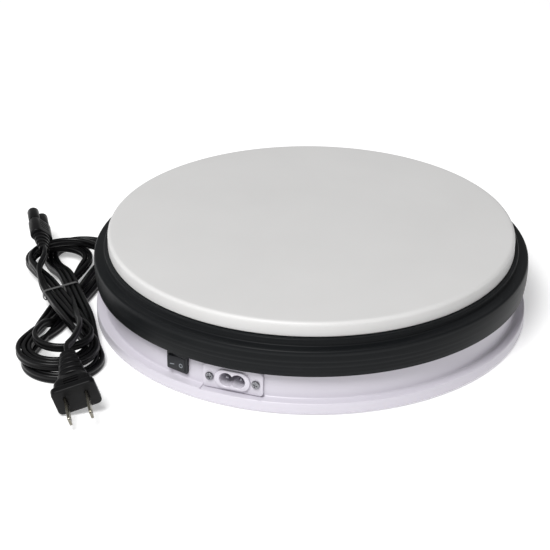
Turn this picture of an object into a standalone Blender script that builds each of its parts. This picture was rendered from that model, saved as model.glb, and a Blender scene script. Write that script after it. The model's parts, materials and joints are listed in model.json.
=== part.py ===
"""A motorised display turntable: a white disc on a black skirted tray, turned by a geared
synchronous motor in a white base, with its bundled two-pin mains lead.

The origin is on the turning axis, at the underside of the rubber feet. +Z is up, and the
mains inlet faces -Y.
"""

from math import atan2, cos, pi, radians, sin

import bmesh
import bpy
from mathutils import Matrix, Vector

MM = 0.001
GAP = 0.3 * MM

# Heights, from the feet up.
FEET_HEIGHT = 2.0 * MM
FLANGE_BOTTOM = 1.5 * MM
FLANGE_TOP = 8.1 * MM
PLATE_BOTTOM = FEET_HEIGHT + GAP
PLATE_TOP = PLATE_BOTTOM + 2.0 * MM
DECK_UNDERSIDE = 33.6 * MM
DECK_TOP = 36.0 * MM
TRAY_DECK_UNDERSIDE = 44.2 * MM
TRAY_DECK_TOP = 46.7 * MM
LEDGE = 42.3 * MM
SKIRT_BOTTOM = 25.3 * MM
PLATTER_BOTTOM = TRAY_DECK_TOP + GAP
PLATTER_TOP = 56.0 * MM

# Radii.
PLATTER_R = 125.0 * MM
FLANGE_R = 133.2 * MM
WALL_R = 127.2 * MM
WALL_TOP_R = 126.5 * MM
WALL_INNER_R = 124.6 * MM
LIP_R = 127.5 * MM
SKIRT_R = 133.8 * MM
SKIRT_BOTTOM_R = 132.7 * MM
SKIRT_INNER_R = 130.5 * MM

# Drive.
MODULE = 2.0 * MM
GEAR_TEETH = 45
PINION_TEETH = 12
GEAR_BOTTOM = 39.2 * MM
GEAR_TOP = TRAY_DECK_UNDERSIDE - GAP
GEAR_R = MODULE * GEAR_TEETH / 2
PINION_R = MODULE * PINION_TEETH / 2
MOTOR_Y = GEAR_R + PINION_R
MOTOR_R = 25.0 * MM
MOTOR_EAR = 29.5 * MM
SHAFT_R = 3.5 * MM
HUB_R = 11.0 * MM
SPINDLE_R = 4.0 * MM
GEAR_SCREW_R = 30.0 * MM
PLATTER_SCREW_R = 82.0 * MM

# Support rollers.
TRACK_R = 100.0 * MM
ROLLER_R = 7.0 * MM
ROLLER_WIDTH = 5.0 * MM
ROLLER_Z = TRAY_DECK_UNDERSIDE - GAP - ROLLER_R
ROLLER_ANGLES = (30, 150, 270)

# Feet and bottom screws.
BOSS_R = 112.0 * MM
BOSS_ANGLES = (45, 135, 225, 315)
FOOT_ANGLES = (20, 110, 200, 290)

# Inlet, on the -Y side.
INLET_Z = 15.6 * MM
INLET_FLAT_Y = -125.8 * MM
INLET_WIDTH = 37.0 * MM
INLET_HEIGHT = 15.0 * MM
INLET_PLATE = 1.6 * MM
INLET_SURROUND = 1.4 * MM
INLET_SCREW_X = 14.3 * MM
SOCKET_LOBE_X = 3.6 * MM
SOCKET_LOBE_R = 4.3 * MM
SOCKET_DEPTH = 12.5 * MM
PIN_X = 4.3 * MM
PIN_R = 1.2 * MM

# Rocker switch, to the left of the inlet.
SWITCH_ANGLE = -16.45
SWITCH_Z = 17.5 * MM
BEZEL_WIDTH = 15.2 * MM
BEZEL_HEIGHT = 11.4 * MM
BEZEL_DEPTH = 1.6 * MM
ROCKER_SWING_R = 6.1 * MM
ROCKER_HEIGHT = 8.0 * MM
ROCKER_TILT = 10

# Mains lead. The flat twin cord is 5.6 mm wide.
CORD_R = 2.8 * MM
HANK_CENTRE = Vector((-140.0, -60.5)) * MM
HANK_TURN = 23.5
HANK_REACH = 92.0 * MM
HANK_LOBE = 24.3 * MM
HANK_WAIST = 13.5 * MM
HANK_BOTTOM = 0.2 * MM
HANK_TOP = 11.6 * MM
LEAD_Z = HANK_TOP + GAP + CORD_R
CONNECTOR_FACE = Vector((-200.4, 20.1, 19.2)) * MM
CONNECTOR_HEADING = 31.7
CONNECTOR_ROLL = 40
PLUG_FACE = Vector((-75.8, -175.3, 13.1)) * MM
PLUG_HEADING = 214.0
PLUG_PITCH = 14.4
PLUG_ROLL = 17.2

SEGMENTS = 72


def material(name, color, roughness, metallic=0.0):
    made = bpy.data.materials.new(name)
    made.use_nodes = True
    shader = made.node_tree.nodes["Principled BSDF"]
    shader.inputs["Base Color"].default_value = (*color, 1)
    shader.inputs["Roughness"].default_value = roughness
    shader.inputs["Metallic"].default_value = metallic
    made.diffuse_color = (*color, 1)
    return made


def clear_scene():
    for obj in list(bpy.data.objects):
        bpy.data.objects.remove(obj)
    for made in list(bpy.data.collections):
        bpy.data.collections.remove(made)


def collection(name):
    made = bpy.data.collections.new(name)
    bpy.context.scene.collection.children.link(made)
    return made


clear_scene()
PARTS = collection("turntable_display_stand")

WHITE = material("white_plastic", (0.80, 0.80, 0.84), 0.30)
DISC_WHITE = material("disc_white", (0.66, 0.66, 0.66), 0.45)
BLACK = material("black_plastic", (0.020, 0.021, 0.023), 0.42)
CORD_BLACK = material("cord_black", (0.012, 0.012, 0.013), 0.45)
SWITCH_BLACK = material("switch_black", (0.010, 0.010, 0.010), 0.30)
STEEL = material("steel", (0.55, 0.55, 0.56), 0.28, 1.0)
BRASS = material("brass", (0.62, 0.50, 0.26), 0.32, 1.0)
BRONZE = material("bronze", (0.45, 0.32, 0.18), 0.40, 1.0)
NYLON = material("nylon", (0.72, 0.70, 0.64), 0.50)
RUBBER = material("rubber", (0.03, 0.03, 0.03), 0.80)
BROWN = material("brown_insulation", (0.16, 0.07, 0.03), 0.45)
BLUE = material("blue_insulation", (0.03, 0.09, 0.32), 0.45)


def finish(obj, look, smooth=True):
    """Gives a new object its material and puts it in the object's collection."""
    for old in list(obj.users_collection):
        old.objects.unlink(obj)
    PARTS.objects.link(obj)
    obj.data.materials.clear()
    obj.data.materials.append(look)
    if smooth and obj.type == "MESH":
        obj.data.shade_smooth()
        obj.data.set_sharp_from_angle(angle=radians(35))
    return obj


def from_bmesh(name, bm, look):
    bmesh.ops.recalc_face_normals(bm, faces=bm.faces)
    mesh = bpy.data.meshes.new(name)
    bm.to_mesh(mesh)
    bm.free()
    obj = bpy.data.objects.new(name, mesh)
    bpy.context.scene.collection.objects.link(obj)
    return finish(obj, look)


def turned(name, profile, look, steps=SEGMENTS):
    """A closed (radius, z) outline turned about Z. Its outer side runs top to bottom."""
    mesh = bpy.data.meshes.new(name)
    count = len(profile)
    edges = [(i, (i + 1) % count) for i in range(count)]
    mesh.from_pydata([(r, 0, z) for r, z in profile], edges, [])
    obj = bpy.data.objects.new(name, mesh)
    bpy.context.scene.collection.objects.link(obj)
    screw = obj.modifiers.new("turn", "SCREW")
    screw.axis = "Z"
    screw.steps = steps
    screw.render_steps = steps
    screw.use_merge_vertices = True
    screw.merge_threshold = 0.00001
    baked = baked_mesh(obj)
    bpy.data.objects.remove(obj)
    obj = bpy.data.objects.new(name, baked)
    bpy.context.scene.collection.objects.link(obj)
    return finish(obj, look)


def baked_mesh(obj):
    """A plain mesh of the object as its modifiers or its curve make it."""
    graph = bpy.context.evaluated_depsgraph_get()
    graph.update()
    return bpy.data.meshes.new_from_object(obj.evaluated_get(graph))


def ring(name, inner, outer, bottom, top, look, steps=32):
    profile = [(outer, top), (outer, bottom), (inner, bottom), (inner, top)]
    return turned(name, profile, look, steps)


def place(obj, spot=(0, 0, 0), turn=None):
    obj.matrix_world = Matrix.Translation(spot) @ (turn or Matrix())
    return obj


def cylinder(name, radius, bottom, top, look, steps=24, spot=(0, 0)):
    bm = bmesh.new()
    bmesh.ops.create_cone(
        bm, cap_ends=True, segments=steps, radius1=radius, radius2=radius, depth=top - bottom
    )
    bmesh.ops.translate(bm, verts=bm.verts, vec=(spot[0], spot[1], (top + bottom) / 2))
    return from_bmesh(name, bm, look)


def box(name, size, centre, look):
    bm = bmesh.new()
    bmesh.ops.create_cube(bm, size=1)
    bmesh.ops.scale(bm, verts=bm.verts, vec=size)
    bmesh.ops.translate(bm, verts=bm.verts, vec=centre)
    return from_bmesh(name, bm, look)


def arc_points(centre, radius, start, end, steps):
    """Points on an arc from one angle to another, in degrees."""
    angles = [radians(start + (end - start) * i / steps) for i in range(steps + 1)]
    return [(centre[0] + radius * cos(a), centre[1] + radius * sin(a)) for a in angles]


def plate(name, outline, bottom, top, look):
    """A flat outline in XY extruded along Z."""
    bm = bmesh.new()
    verts = [bm.verts.new((x, y, bottom)) for x, y in outline]
    face = bm.faces.new(verts)
    raised = bmesh.ops.extrude_face_region(bm, geom=[face])["geom"]
    lifted = [g for g in raised if isinstance(g, bmesh.types.BMVert)]
    bmesh.ops.translate(bm, verts=lifted, vec=(0, 0, top - bottom))
    return from_bmesh(name, bm, look)


def rounded_rectangle(width, height, radius, steps=4):
    points = []
    for turn, sx, sy in ((0, 1, 1), (90, -1, 1), (180, -1, -1), (270, 1, -1)):
        centre = (sx * (width / 2 - radius), sy * (height / 2 - radius))
        points += arc_points(centre, radius, turn, turn + 90, steps)
    return points


def figure_eight(lobe_x, radius, steps=10):
    """The outline of two equal circles whose centres are at +-lobe_x."""
    meet = 180 - 180 / pi * atan2((radius**2 - lobe_x**2) ** 0.5, lobe_x)
    right = arc_points((lobe_x, 0), radius, -meet, meet, steps)
    left = arc_points((-lobe_x, 0), radius, 180 - meet, 180 + meet, steps)
    return right + left[1:-1]


def boolean(obj, other, operation):
    """Cuts with, or adds, another object, and removes that object."""
    modifier = obj.modifiers.new(operation.lower(), "BOOLEAN")
    modifier.operation = operation
    modifier.object = other
    modifier.solver = "EXACT"
    baked = baked_mesh(obj)
    obj.modifiers.clear()
    obj.data = baked
    bpy.data.objects.remove(other)
    return obj


def cut(obj, *others):
    for other in others:
        boolean(obj, other, "DIFFERENCE")
    return obj


def join(obj, *others):
    for other in others:
        boolean(obj, other, "UNION")
    return obj


def polar(radius, angle):
    return (radius * cos(radians(angle)), radius * sin(radians(angle)))


def facing_minus_y(y_front):
    """Stands a plate made in XY upright, its top face at y_front and looking along -Y."""
    return Matrix.Translation((0, y_front, 0)) @ Matrix.Rotation(pi / 2, 4, "X")


def upright(obj, y_front, z=0.0, x=0.0, turn=0.0):
    """Stands an object made looking along +Z on the -Y side, then turns it about Z."""
    about = Matrix.Rotation(radians(turn), 4, "Z")
    obj.data.transform(about @ Matrix.Translation((x, 0, z)) @ facing_minus_y(y_front))
    return obj


def screw_piece(name, shank_r, shank, head_r, head, look, spot, head_down=False, cross=False):
    """A pan-head screw along Z whose head seat is at the spot. A screw in sight has its cross."""
    up = [
        (head_r * 0.55, head),
        (head_r * 0.9, head * 0.7),
        (head_r, 0),
        (shank_r, 0),
        (shank_r, -shank),
        (0, -shank - shank_r),
        (0, head),
    ]
    obj = turned(name, up, look, 12)
    slot_size = (head_r * 1.2, head_r * 0.25, head * 0.9)
    for turn in (0, 90) if cross else ():
        blade = box("slot", slot_size, (0, 0, head), look)
        blade.data.transform(Matrix.Rotation(radians(turn), 4, "Z"))
        cut(obj, blade)
    turn = Matrix.Rotation(pi, 4, "X") if head_down else Matrix()
    return place(obj, spot, turn)


def gear_outline(teeth, thin):
    """A spur gear's outline with short teeth: three points a flank, thinned for backlash."""
    pitch = MODULE * teeth / 2
    levels = ((-1.05, 0.70), (0.0, 0.5), (0.80, 0.27))
    points = []
    for tooth in range(teeth):
        middle = 360 * tooth / teeth
        flank = []
        for rise, share in levels:
            r = pitch + rise * MODULE
            half = 90 / teeth * 2 * share - thin / pitch * 90 / pi
            flank.append((r, half))
        for r, half in flank:
            points.append(polar(r, middle - half))
        for r, half in reversed(flank):
            points.append(polar(r, middle + half))
    return points


def empty(name, spot):
    """An unseen axis marker that its moving pieces are parented to."""
    made = bpy.data.objects.new(name, None)
    made.location = spot
    made.empty_display_size = 0.01
    PARTS.objects.link(made)
    return made


def parent_all(holder, objects):
    bpy.context.view_layer.update()
    for obj in objects:
        kept = obj.matrix_world.copy()
        obj.parent = holder
        obj.matrix_parent_inverse = holder.matrix_world.inverted()
        obj.matrix_world = kept


def tube(name, points, radius, look, resolution=2):
    """A round wire or cord along a list of points."""
    curve = bpy.data.curves.new(name, "CURVE")
    curve.dimensions = "3D"
    curve.bevel_depth = radius
    curve.bevel_resolution = resolution
    curve.use_fill_caps = True
    spline = curve.splines.new("POLY")
    spline.points.add(len(points) - 1)
    for point, spot in zip(spline.points, points):
        point.co = (*spot, 1)
    obj = bpy.data.objects.new(name, curve)
    bpy.context.scene.collection.objects.link(obj)
    return finish(obj, look)


def smooth_route(knots, per_span=4):
    """Points on a Catmull-Rom curve through the knots."""
    knots = [Vector(k) for k in knots]
    padded = [2 * knots[0] - knots[1], *knots, 2 * knots[-1] - knots[-2]]
    points = []
    for a, b, c, d in zip(padded, padded[1:], padded[2:], padded[3:]):
        for i in range(per_span):
            t = i / per_span
            points.append(
                0.5 * (2 * b + (c - a) * t + (2 * a - 5 * b + 4 * c - d) * t**2
                       + (3 * b - a - 3 * c + d) * t**3)
            )
    return [*points, knots[-1]]


# ---------------------------------------------------------------- base


def base_housing():
    outline = [
        (WALL_TOP_R - 3.5 * MM, DECK_TOP),
        (WALL_TOP_R - 1.0 * MM, DECK_TOP - 1.0 * MM),
        (WALL_TOP_R, DECK_TOP - 3.5 * MM),
        (WALL_R, FLANGE_TOP + 1.2 * MM),
        (WALL_R + 0.6 * MM, FLANGE_TOP),
        (FLANGE_R - 0.6 * MM, FLANGE_TOP),
        (FLANGE_R, FLANGE_TOP - 0.6 * MM),
        (FLANGE_R, FLANGE_BOTTOM),
        (WALL_INNER_R, FLANGE_BOTTOM),
        (WALL_INNER_R - 0.4 * MM, DECK_UNDERSIDE),
        (SPINDLE_R + GAP, DECK_UNDERSIDE),
        (SPINDLE_R + GAP, DECK_TOP),
    ]
    housing = turned("base_housing", outline, WHITE)
    for angle in BOSS_ANGLES:
        spot = polar(BOSS_R, angle)
        boss = cylinder("boss", 4.5 * MM, PLATE_TOP + GAP, DECK_UNDERSIDE + MM, WHITE, 16, spot)
        join(housing, boss)
        cut(housing, cylinder("bore", 1.6 * MM, 0, 15 * MM, WHITE, 12, spot))
    for angle in ROLLER_ANGLES:
        turn = Matrix.Rotation(radians(angle), 4, "Z")
        for side in (-1, 1):
            middle = TRACK_R + side * (ROLLER_WIDTH / 2 + 3.0 * MM)
            block = box("block", (4 * MM, 9 * MM, 9.4 * MM), (middle, 0, 35.5 * MM), WHITE)
            block.data.transform(turn)
            join(housing, block)
        slot = box("slot", (7 * MM, 17 * MM, 20 * MM), (TRACK_R, 0, 36 * MM), WHITE)
        bore = cylinder("bore", 1.5 * MM + GAP, -20 * MM, 20 * MM, WHITE, 12)
        lie = Matrix.Translation((TRACK_R, 0, ROLLER_Z)) @ Matrix.Rotation(pi / 2, 4, "Y")
        slot.data.transform(turn)
        bore.data.transform(turn @ lie)
        cut(housing, slot, bore)
    cut(housing, cylinder("shaft_hole", SHAFT_R + MM, 30 * MM, 40 * MM, WHITE, 16, (0, MOTOR_Y)))
    for side in (-1, 1):
        spot = (side * MOTOR_EAR, MOTOR_Y)
        cut(housing, cylinder("screw_hole", 1.9 * MM, 30 * MM, 40 * MM, WHITE, 12, spot))
    backing = box("backing", (44 * MM, 3 * MM, 25 * MM), (0, -123.4 * MM, 21.5 * MM), WHITE)
    join(housing, backing)
    flat_size = (INLET_WIDTH + 1.4 * MM, 6 * MM, INLET_HEIGHT + MM)
    flat = box("flat", flat_size, (0, INLET_FLAT_Y - 3 * MM, INLET_Z), WHITE)
    window = box("window", (23 * MM, 12 * MM, 13.6 * MM), (0, -123 * MM, INLET_Z), WHITE)
    cut(housing, flat, window)
    for side in (-1, 1):
        hole = cylinder("hole", 1.7 * MM, -12 * MM, 12 * MM, WHITE, 12)
        upright(hole, -125 * MM, INLET_Z, side * INLET_SCREW_X)
        cut(housing, hole)
    opening = box("opening", (14.2 * MM, 12 * MM, 10 * MM), (0, -WALL_R, SWITCH_Z), WHITE)
    opening.data.transform(Matrix.Rotation(radians(SWITCH_ANGLE), 4, "Z"))
    return cut(housing, opening)


def bottom_plate():
    obj = cylinder("bottom_plate", WALL_INNER_R - GAP, PLATE_BOTTOM, PLATE_TOP, WHITE, SEGMENTS)
    for angle in BOSS_ANGLES:
        cut(obj, cylinder("hole", 1.6 * MM, 0, 10 * MM, WHITE, 12, polar(BOSS_R, angle)))
    return obj


def feet_and_screws():
    for number, angle in enumerate(FOOT_ANGLES, 1):
        profile = [(7.2 * MM, FEET_HEIGHT), (8 * MM, 0.8 * MM), (7.4 * MM, 0), (0, 0),
                   (0, FEET_HEIGHT)]
        foot = turned(f"foot_pad_{number}", profile, RUBBER, 24)
        place(foot, (*polar(BOSS_R, angle), 0))
    for number, angle in enumerate(BOSS_ANGLES, 1):
        seat = (*polar(BOSS_R, angle), PLATE_BOTTOM - GAP)
        screw_piece(f"bottom_screw_{number}", 1.25 * MM, 10 * MM, 3 * MM, 1.3 * MM, STEEL,
                    seat, head_down=True, cross=True)


# ---------------------------------------------------------------- inlet


def inlet():
    front = INLET_FLAT_Y - GAP - INLET_PLATE
    flange = plate("inlet_body", rounded_rectangle(INLET_WIDTH, INLET_HEIGHT, 3 * MM),
                   -INLET_PLATE, 0, WHITE)
    surround = plate("surround", rounded_rectangle(22 * MM, 12 * MM, 5.9 * MM, 6),
                     -0.8 * MM, INLET_SURROUND, WHITE)
    back = plate("back", rounded_rectangle(21 * MM, 12.6 * MM, 1.5 * MM, 2),
                 -18 * MM, -0.8 * MM, WHITE)
    join(flange, surround, back)
    recess = plate("recess", figure_eight(SOCKET_LOBE_X, SOCKET_LOBE_R),
                   INLET_SURROUND - SOCKET_DEPTH, 5 * MM, WHITE)
    cut(flange, recess)
    for side in (-1, 1):
        spot = (side * INLET_SCREW_X, 0)
        cut(flange, cylinder("hole", 1.7 * MM, -5 * MM, 5 * MM, WHITE, 12, spot))
        cut(flange, cylinder("pin_hole", PIN_R + GAP, -30 * MM, 0, WHITE, 12, (side * PIN_X, 0)))
    upright(flange, front, INLET_Z)
    for number, side in enumerate((-1, 1), 1):
        length = 22 * MM
        profile = [(PIN_R * 0.5, 0), (PIN_R, -PIN_R), (PIN_R, -length), (0, -length), (0, 0)]
        pin = turned(f"inlet_pin_{number}", profile, STEEL, 16)
        upright(pin, front + 1.5 * MM, INLET_Z, side * PIN_X)
        screw = screw_piece(f"inlet_screw_{number}", 1.3 * MM, 7 * MM, 2.6 * MM, 1.2 * MM,
                            STEEL, (0, 0, 0), cross=True)
        screw.matrix_world = Matrix()
        upright(screw, front - GAP, INLET_Z, side * INLET_SCREW_X)


# ---------------------------------------------------------------- switch


def switch():
    back_y = -WALL_R - GAP
    body = plate("switch_body", rounded_rectangle(BEZEL_WIDTH, BEZEL_HEIGHT, 1 * MM, 2),
                 0, BEZEL_DEPTH, SWITCH_BLACK)
    case = plate("case", rounded_rectangle(13.6 * MM, 9.4 * MM, 0.5 * MM, 1),
                 -11 * MM, 0.5 * MM, SWITCH_BLACK)
    join(body, case)
    well_depth = 5.6 * MM
    well = box("well", (12.8 * MM, 8.4 * MM, 2 * well_depth), (0, 0, BEZEL_DEPTH), SWITCH_BLACK)
    cut(body, well)
    pivot_out = BEZEL_DEPTH - 1 * MM
    socket = cylinder("socket", 0.8 * MM, -4.6 * MM, 4.6 * MM, SWITCH_BLACK, 12)
    socket.data.transform(Matrix.Translation((0, 0, pivot_out)) @ Matrix.Rotation(pi / 2, 4, "X"))
    cut(body, socket)
    upright(body, back_y, SWITCH_Z, 0, SWITCH_ANGLE)

    # The rocker is a round drum about its pivot with a shallow V across the front.
    tilt = radians(ROCKER_TILT)
    valley = 1.3 * MM
    start = 21.3
    drum = arc_points((0, 0), ROCKER_SWING_R, 180 - start, 360 + start, 20)
    low = -3.0 * MM
    outline = [(x, max(y, low)) for x, y in drum]
    outline = [p for i, p in enumerate(outline) if i == 0 or p != outline[i - 1]]
    outline.append((0, valley))
    rocker = plate("switch_rocker", outline, -ROCKER_HEIGHT / 2, ROCKER_HEIGHT / 2, SWITCH_BLACK)
    pin = cylinder("trunnion", 0.5 * MM, -4.4 * MM, 4.4 * MM, SWITCH_BLACK, 12)
    join(rocker, pin)
    # In the rocker's own frame +Y points out of the panel, and it starts tilted to one side.
    turn = Matrix.Rotation(radians(SWITCH_ANGLE) + pi + tilt, 4, "Z")
    out = WALL_R + GAP + pivot_out
    spot = Matrix.Rotation(radians(SWITCH_ANGLE), 3, "Z") @ Vector((0, -out, SWITCH_Z))
    place(rocker, spot, turn)
    for number, side in enumerate((-1, 1), 1):
        tab = box(f"switch_terminal_{number}", (0.8 * MM, 6 * MM, 4.8 * MM),
                  (side * 3.5 * MM, 11 * MM + 3 * MM + GAP - WALL_R, SWITCH_Z), BRASS)
        tab.data.transform(Matrix.Rotation(radians(SWITCH_ANGLE), 4, "Z"))


# ---------------------------------------------------------------- drive


def motor():
    can_bottom = 13 * MM
    can_top = 31.3 * MM
    edge = 1.5 * MM
    profile = [(MOTOR_R - edge, can_top), (MOTOR_R, can_top - edge), (MOTOR_R, can_bottom + edge),
               (MOTOR_R - edge, can_bottom), (0, can_bottom), (0, can_top)]
    body = turned("motor_body", profile, STEEL, 32)
    ears = plate("ears", rounded_rectangle(68 * MM, 12 * MM, 4 * MM), 31.0 * MM,
                 DECK_UNDERSIDE - GAP, STEEL)
    join(body, ears)
    cut(body, cylinder("bore", SHAFT_R + GAP, 28 * MM, 40 * MM, STEEL, 16))
    for side in (-1, 1):
        cut(body, cylinder("hole", 1.9 * MM, 25 * MM, 40 * MM, STEEL, 12, (side * MOTOR_EAR, 0)))
    body.data.transform(Matrix.Translation((0, MOTOR_Y, 0)))
    for number, side in enumerate((-1, 1), 1):
        seat = (side * MOTOR_EAR, MOTOR_Y, DECK_TOP + GAP)
        screw_piece(f"motor_screw_{number}", 1.5 * MM, 8 * MM, 3 * MM, 1.6 * MM, STEEL, seat)
    shaft = cylinder("motor_shaft", SHAFT_R, 28.3 * MM, 43.6 * MM, STEEL, 16)
    pinion = plate("drive_pinion", gear_outline(PINION_TEETH, 0.35 * MM), GEAR_BOTTOM + 0.2 * MM,
                   GEAR_TOP - 0.2 * MM, NYLON)
    cut(pinion, cylinder("bore", SHAFT_R + GAP, 30 * MM, 50 * MM, NYLON, 16))
    # A gap of the pinion faces the gear, and a tooth of the gear faces the pinion.
    pinion.data.transform(Matrix.Rotation(radians(-90 + 180 / PINION_TEETH), 4, "Z"))
    for obj in (shaft, pinion):
        place(obj, (0, MOTOR_Y, 0))
    parent_all(empty("pinion_axis", (0, MOTOR_Y, GEAR_BOTTOM)), [shaft, pinion])


def spindle():
    profile = [
        (SPINDLE_R - 0.5 * MM, 49.5 * MM),
        (SPINDLE_R, 49.0 * MM),
        (SPINDLE_R, 48.5 * MM),
        (3.2 * MM, 48.5 * MM),
        (3.2 * MM, 47.0 * MM),
        (SPINDLE_R, 47.0 * MM),
        (SPINDLE_R, 37.6 * MM),
        (12 * MM, 37.6 * MM),
        (12 * MM, DECK_TOP + GAP),
        (SPINDLE_R, DECK_TOP + GAP),
        (SPINDLE_R, 28 * MM),
        (0, 28 * MM),
        (0, 49.5 * MM),
    ]
    turned("spindle", profile, STEEL, 24)
    nut = plate("spindle_nut", arc_points((0, 0), 8 * MM, 0, 300, 5), 29.5 * MM,
                DECK_UNDERSIDE - GAP, STEEL)
    cut(nut, cylinder("bore", SPINDLE_R + GAP, 20 * MM, 40 * MM, STEEL, 24))
    clip_outline = arc_points((0, 0), 7 * MM, 35, 325, 20)
    clip_outline += arc_points((0, 0), 3.5 * MM, 325, 35, 14)
    plate("spindle_clip", clip_outline, 47.3 * MM, 48.2 * MM, STEEL)
    ring("thrust_washer", SPINDLE_R + GAP, 10.5 * MM, 37.9 * MM, 38.6 * MM, NYLON, 24)


def tray():
    """The black turning tray: a deck under the disc, a stepped lip and a deep skirt."""
    wall = 2.2 * MM
    bush_hole = 6.3 * MM
    profile = [
        (LIP_R - 0.6 * MM, TRAY_DECK_TOP),
        (LIP_R, TRAY_DECK_TOP - 0.6 * MM),
        (LIP_R, LEDGE + 0.4 * MM),
        (LIP_R + 0.5 * MM, LEDGE),
        (SKIRT_R - 1.0 * MM, LEDGE),
        (SKIRT_R - 0.1 * MM, LEDGE - 1.0 * MM),
        (SKIRT_R, LEDGE - 6.0 * MM),
        (SKIRT_R - 0.4 * MM, LEDGE - 12.0 * MM),
        (SKIRT_BOTTOM_R, SKIRT_BOTTOM),
        (SKIRT_INNER_R, SKIRT_BOTTOM),
        (SKIRT_INNER_R, LEDGE - wall - 0.5 * MM),
        (SKIRT_INNER_R - 0.5 * MM, LEDGE - wall),
        (LIP_R - wall, LEDGE - wall),
        (LIP_R - wall, TRAY_DECK_UNDERSIDE),
        (HUB_R, TRAY_DECK_UNDERSIDE),
        (HUB_R, 38.9 * MM),
        (bush_hole, 38.9 * MM),
        (bush_hole, TRAY_DECK_TOP),
    ]
    obj = turned("tray", profile, BLACK)
    for number in range(4):
        spot = polar(GEAR_SCREW_R, 45 + 90 * number)
        cut(obj, cylinder("hole", 1.6 * MM, 40 * MM, 50 * MM, BLACK, 12, spot))
    for number in range(3):
        spot = polar(PLATTER_SCREW_R, 90 + 120 * number)
        cut(obj, cylinder("hole", 1.6 * MM, 40 * MM, 50 * MM, BLACK, 12, spot))
    bush = ring("hub_bush", SPINDLE_R + GAP, 6.0 * MM, 38.9 * MM, 46.8 * MM, BRONZE, 24)
    return [obj, bush]


def drive_gear():
    obj = plate("drive_gear", gear_outline(GEAR_TEETH, 0.35 * MM), GEAR_BOTTOM, GEAR_TOP, NYLON)
    obj.data.transform(Matrix.Rotation(radians(90), 4, "Z"))
    cut(obj, cylinder("bore", HUB_R + GAP, 30 * MM, 50 * MM, NYLON, 32))
    made = [obj]
    for number in range(4):
        spot = polar(GEAR_SCREW_R, 45 + 90 * number)
        cut(obj, cylinder("hole", 1.6 * MM, 30 * MM, 50 * MM, NYLON, 12, spot))
        cut(obj, cylinder("counterbore", 3 * MM, 30 * MM, GEAR_BOTTOM + 1.4 * MM, NYLON, 16, spot))
        seat = (*spot, GEAR_BOTTOM + 1.4 * MM - GAP)
        made.append(screw_piece(f"gear_screw_{number + 1}", 1.25 * MM, 4.3 * MM, 2.6 * MM,
                                1.0 * MM, STEEL, seat, head_down=True))
    return made


def platter():
    """The white disc: a flat top, a rounded edge and a hollow underside."""
    edge = 2.3 * MM
    round_edge = [
        (PLATTER_R - edge + edge * sin(a), PLATTER_TOP - edge + edge * cos(a))
        for a in (radians(90 * i / 4) for i in range(5))
    ]
    profile = [
        *round_edge,
        (PLATTER_R, PLATTER_BOTTOM + 0.5 * MM),
        (PLATTER_R - 0.5 * MM, PLATTER_BOTTOM),
        (PLATTER_R - 3 * MM, PLATTER_BOTTOM),
        (PLATTER_R - 3 * MM, PLATTER_TOP - 3 * MM),
        (0, PLATTER_TOP - 3 * MM),
        (0, PLATTER_TOP),
    ]
    obj = turned("platter", profile, DISC_WHITE)
    made = [obj]
    for number in range(3):
        spot = polar(PLATTER_SCREW_R, 90 + 120 * number)
        post = cylinder("post", 4 * MM, PLATTER_BOTTOM, PLATTER_TOP - 2.5 * MM, WHITE, 16, spot)
        bore = cylinder("bore", 1.6 * MM, 40 * MM, PLATTER_TOP - 3.5 * MM, WHITE, 12, spot)
        join(obj, post)
        cut(obj, bore)
        seat = (*spot, TRAY_DECK_UNDERSIDE - GAP)
        made.append(screw_piece(f"platter_screw_{number + 1}", 1.25 * MM, 5.6 * MM, 2.6 * MM,
                                1.3 * MM, STEEL, seat, head_down=True))
    return made


def roller(number, angle):
    """A support roller on a pin that points at the turning axis."""
    lie = (Matrix.Rotation(radians(angle), 4, "Z") @ Matrix.Translation((TRACK_R, 0, ROLLER_Z))
           @ Matrix.Rotation(pi / 2, 4, "Y"))
    half = ROLLER_WIDTH / 2
    edge = 0.6 * MM
    profile = [(ROLLER_R - edge, half), (ROLLER_R, half - edge), (ROLLER_R, edge - half),
               (ROLLER_R - edge, -half), (1.5 * MM + GAP, -half), (1.5 * MM + GAP, half)]
    wheel = turned(f"roller_wheel_{number}", profile, NYLON, 20)
    wheel.matrix_world = lie
    axle = cylinder(f"roller_axle_{number}", 1.5 * MM, -7.3 * MM, 7.3 * MM, STEEL, 12)
    axle.matrix_world = lie


# ---------------------------------------------------------------- wires inside


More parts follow.
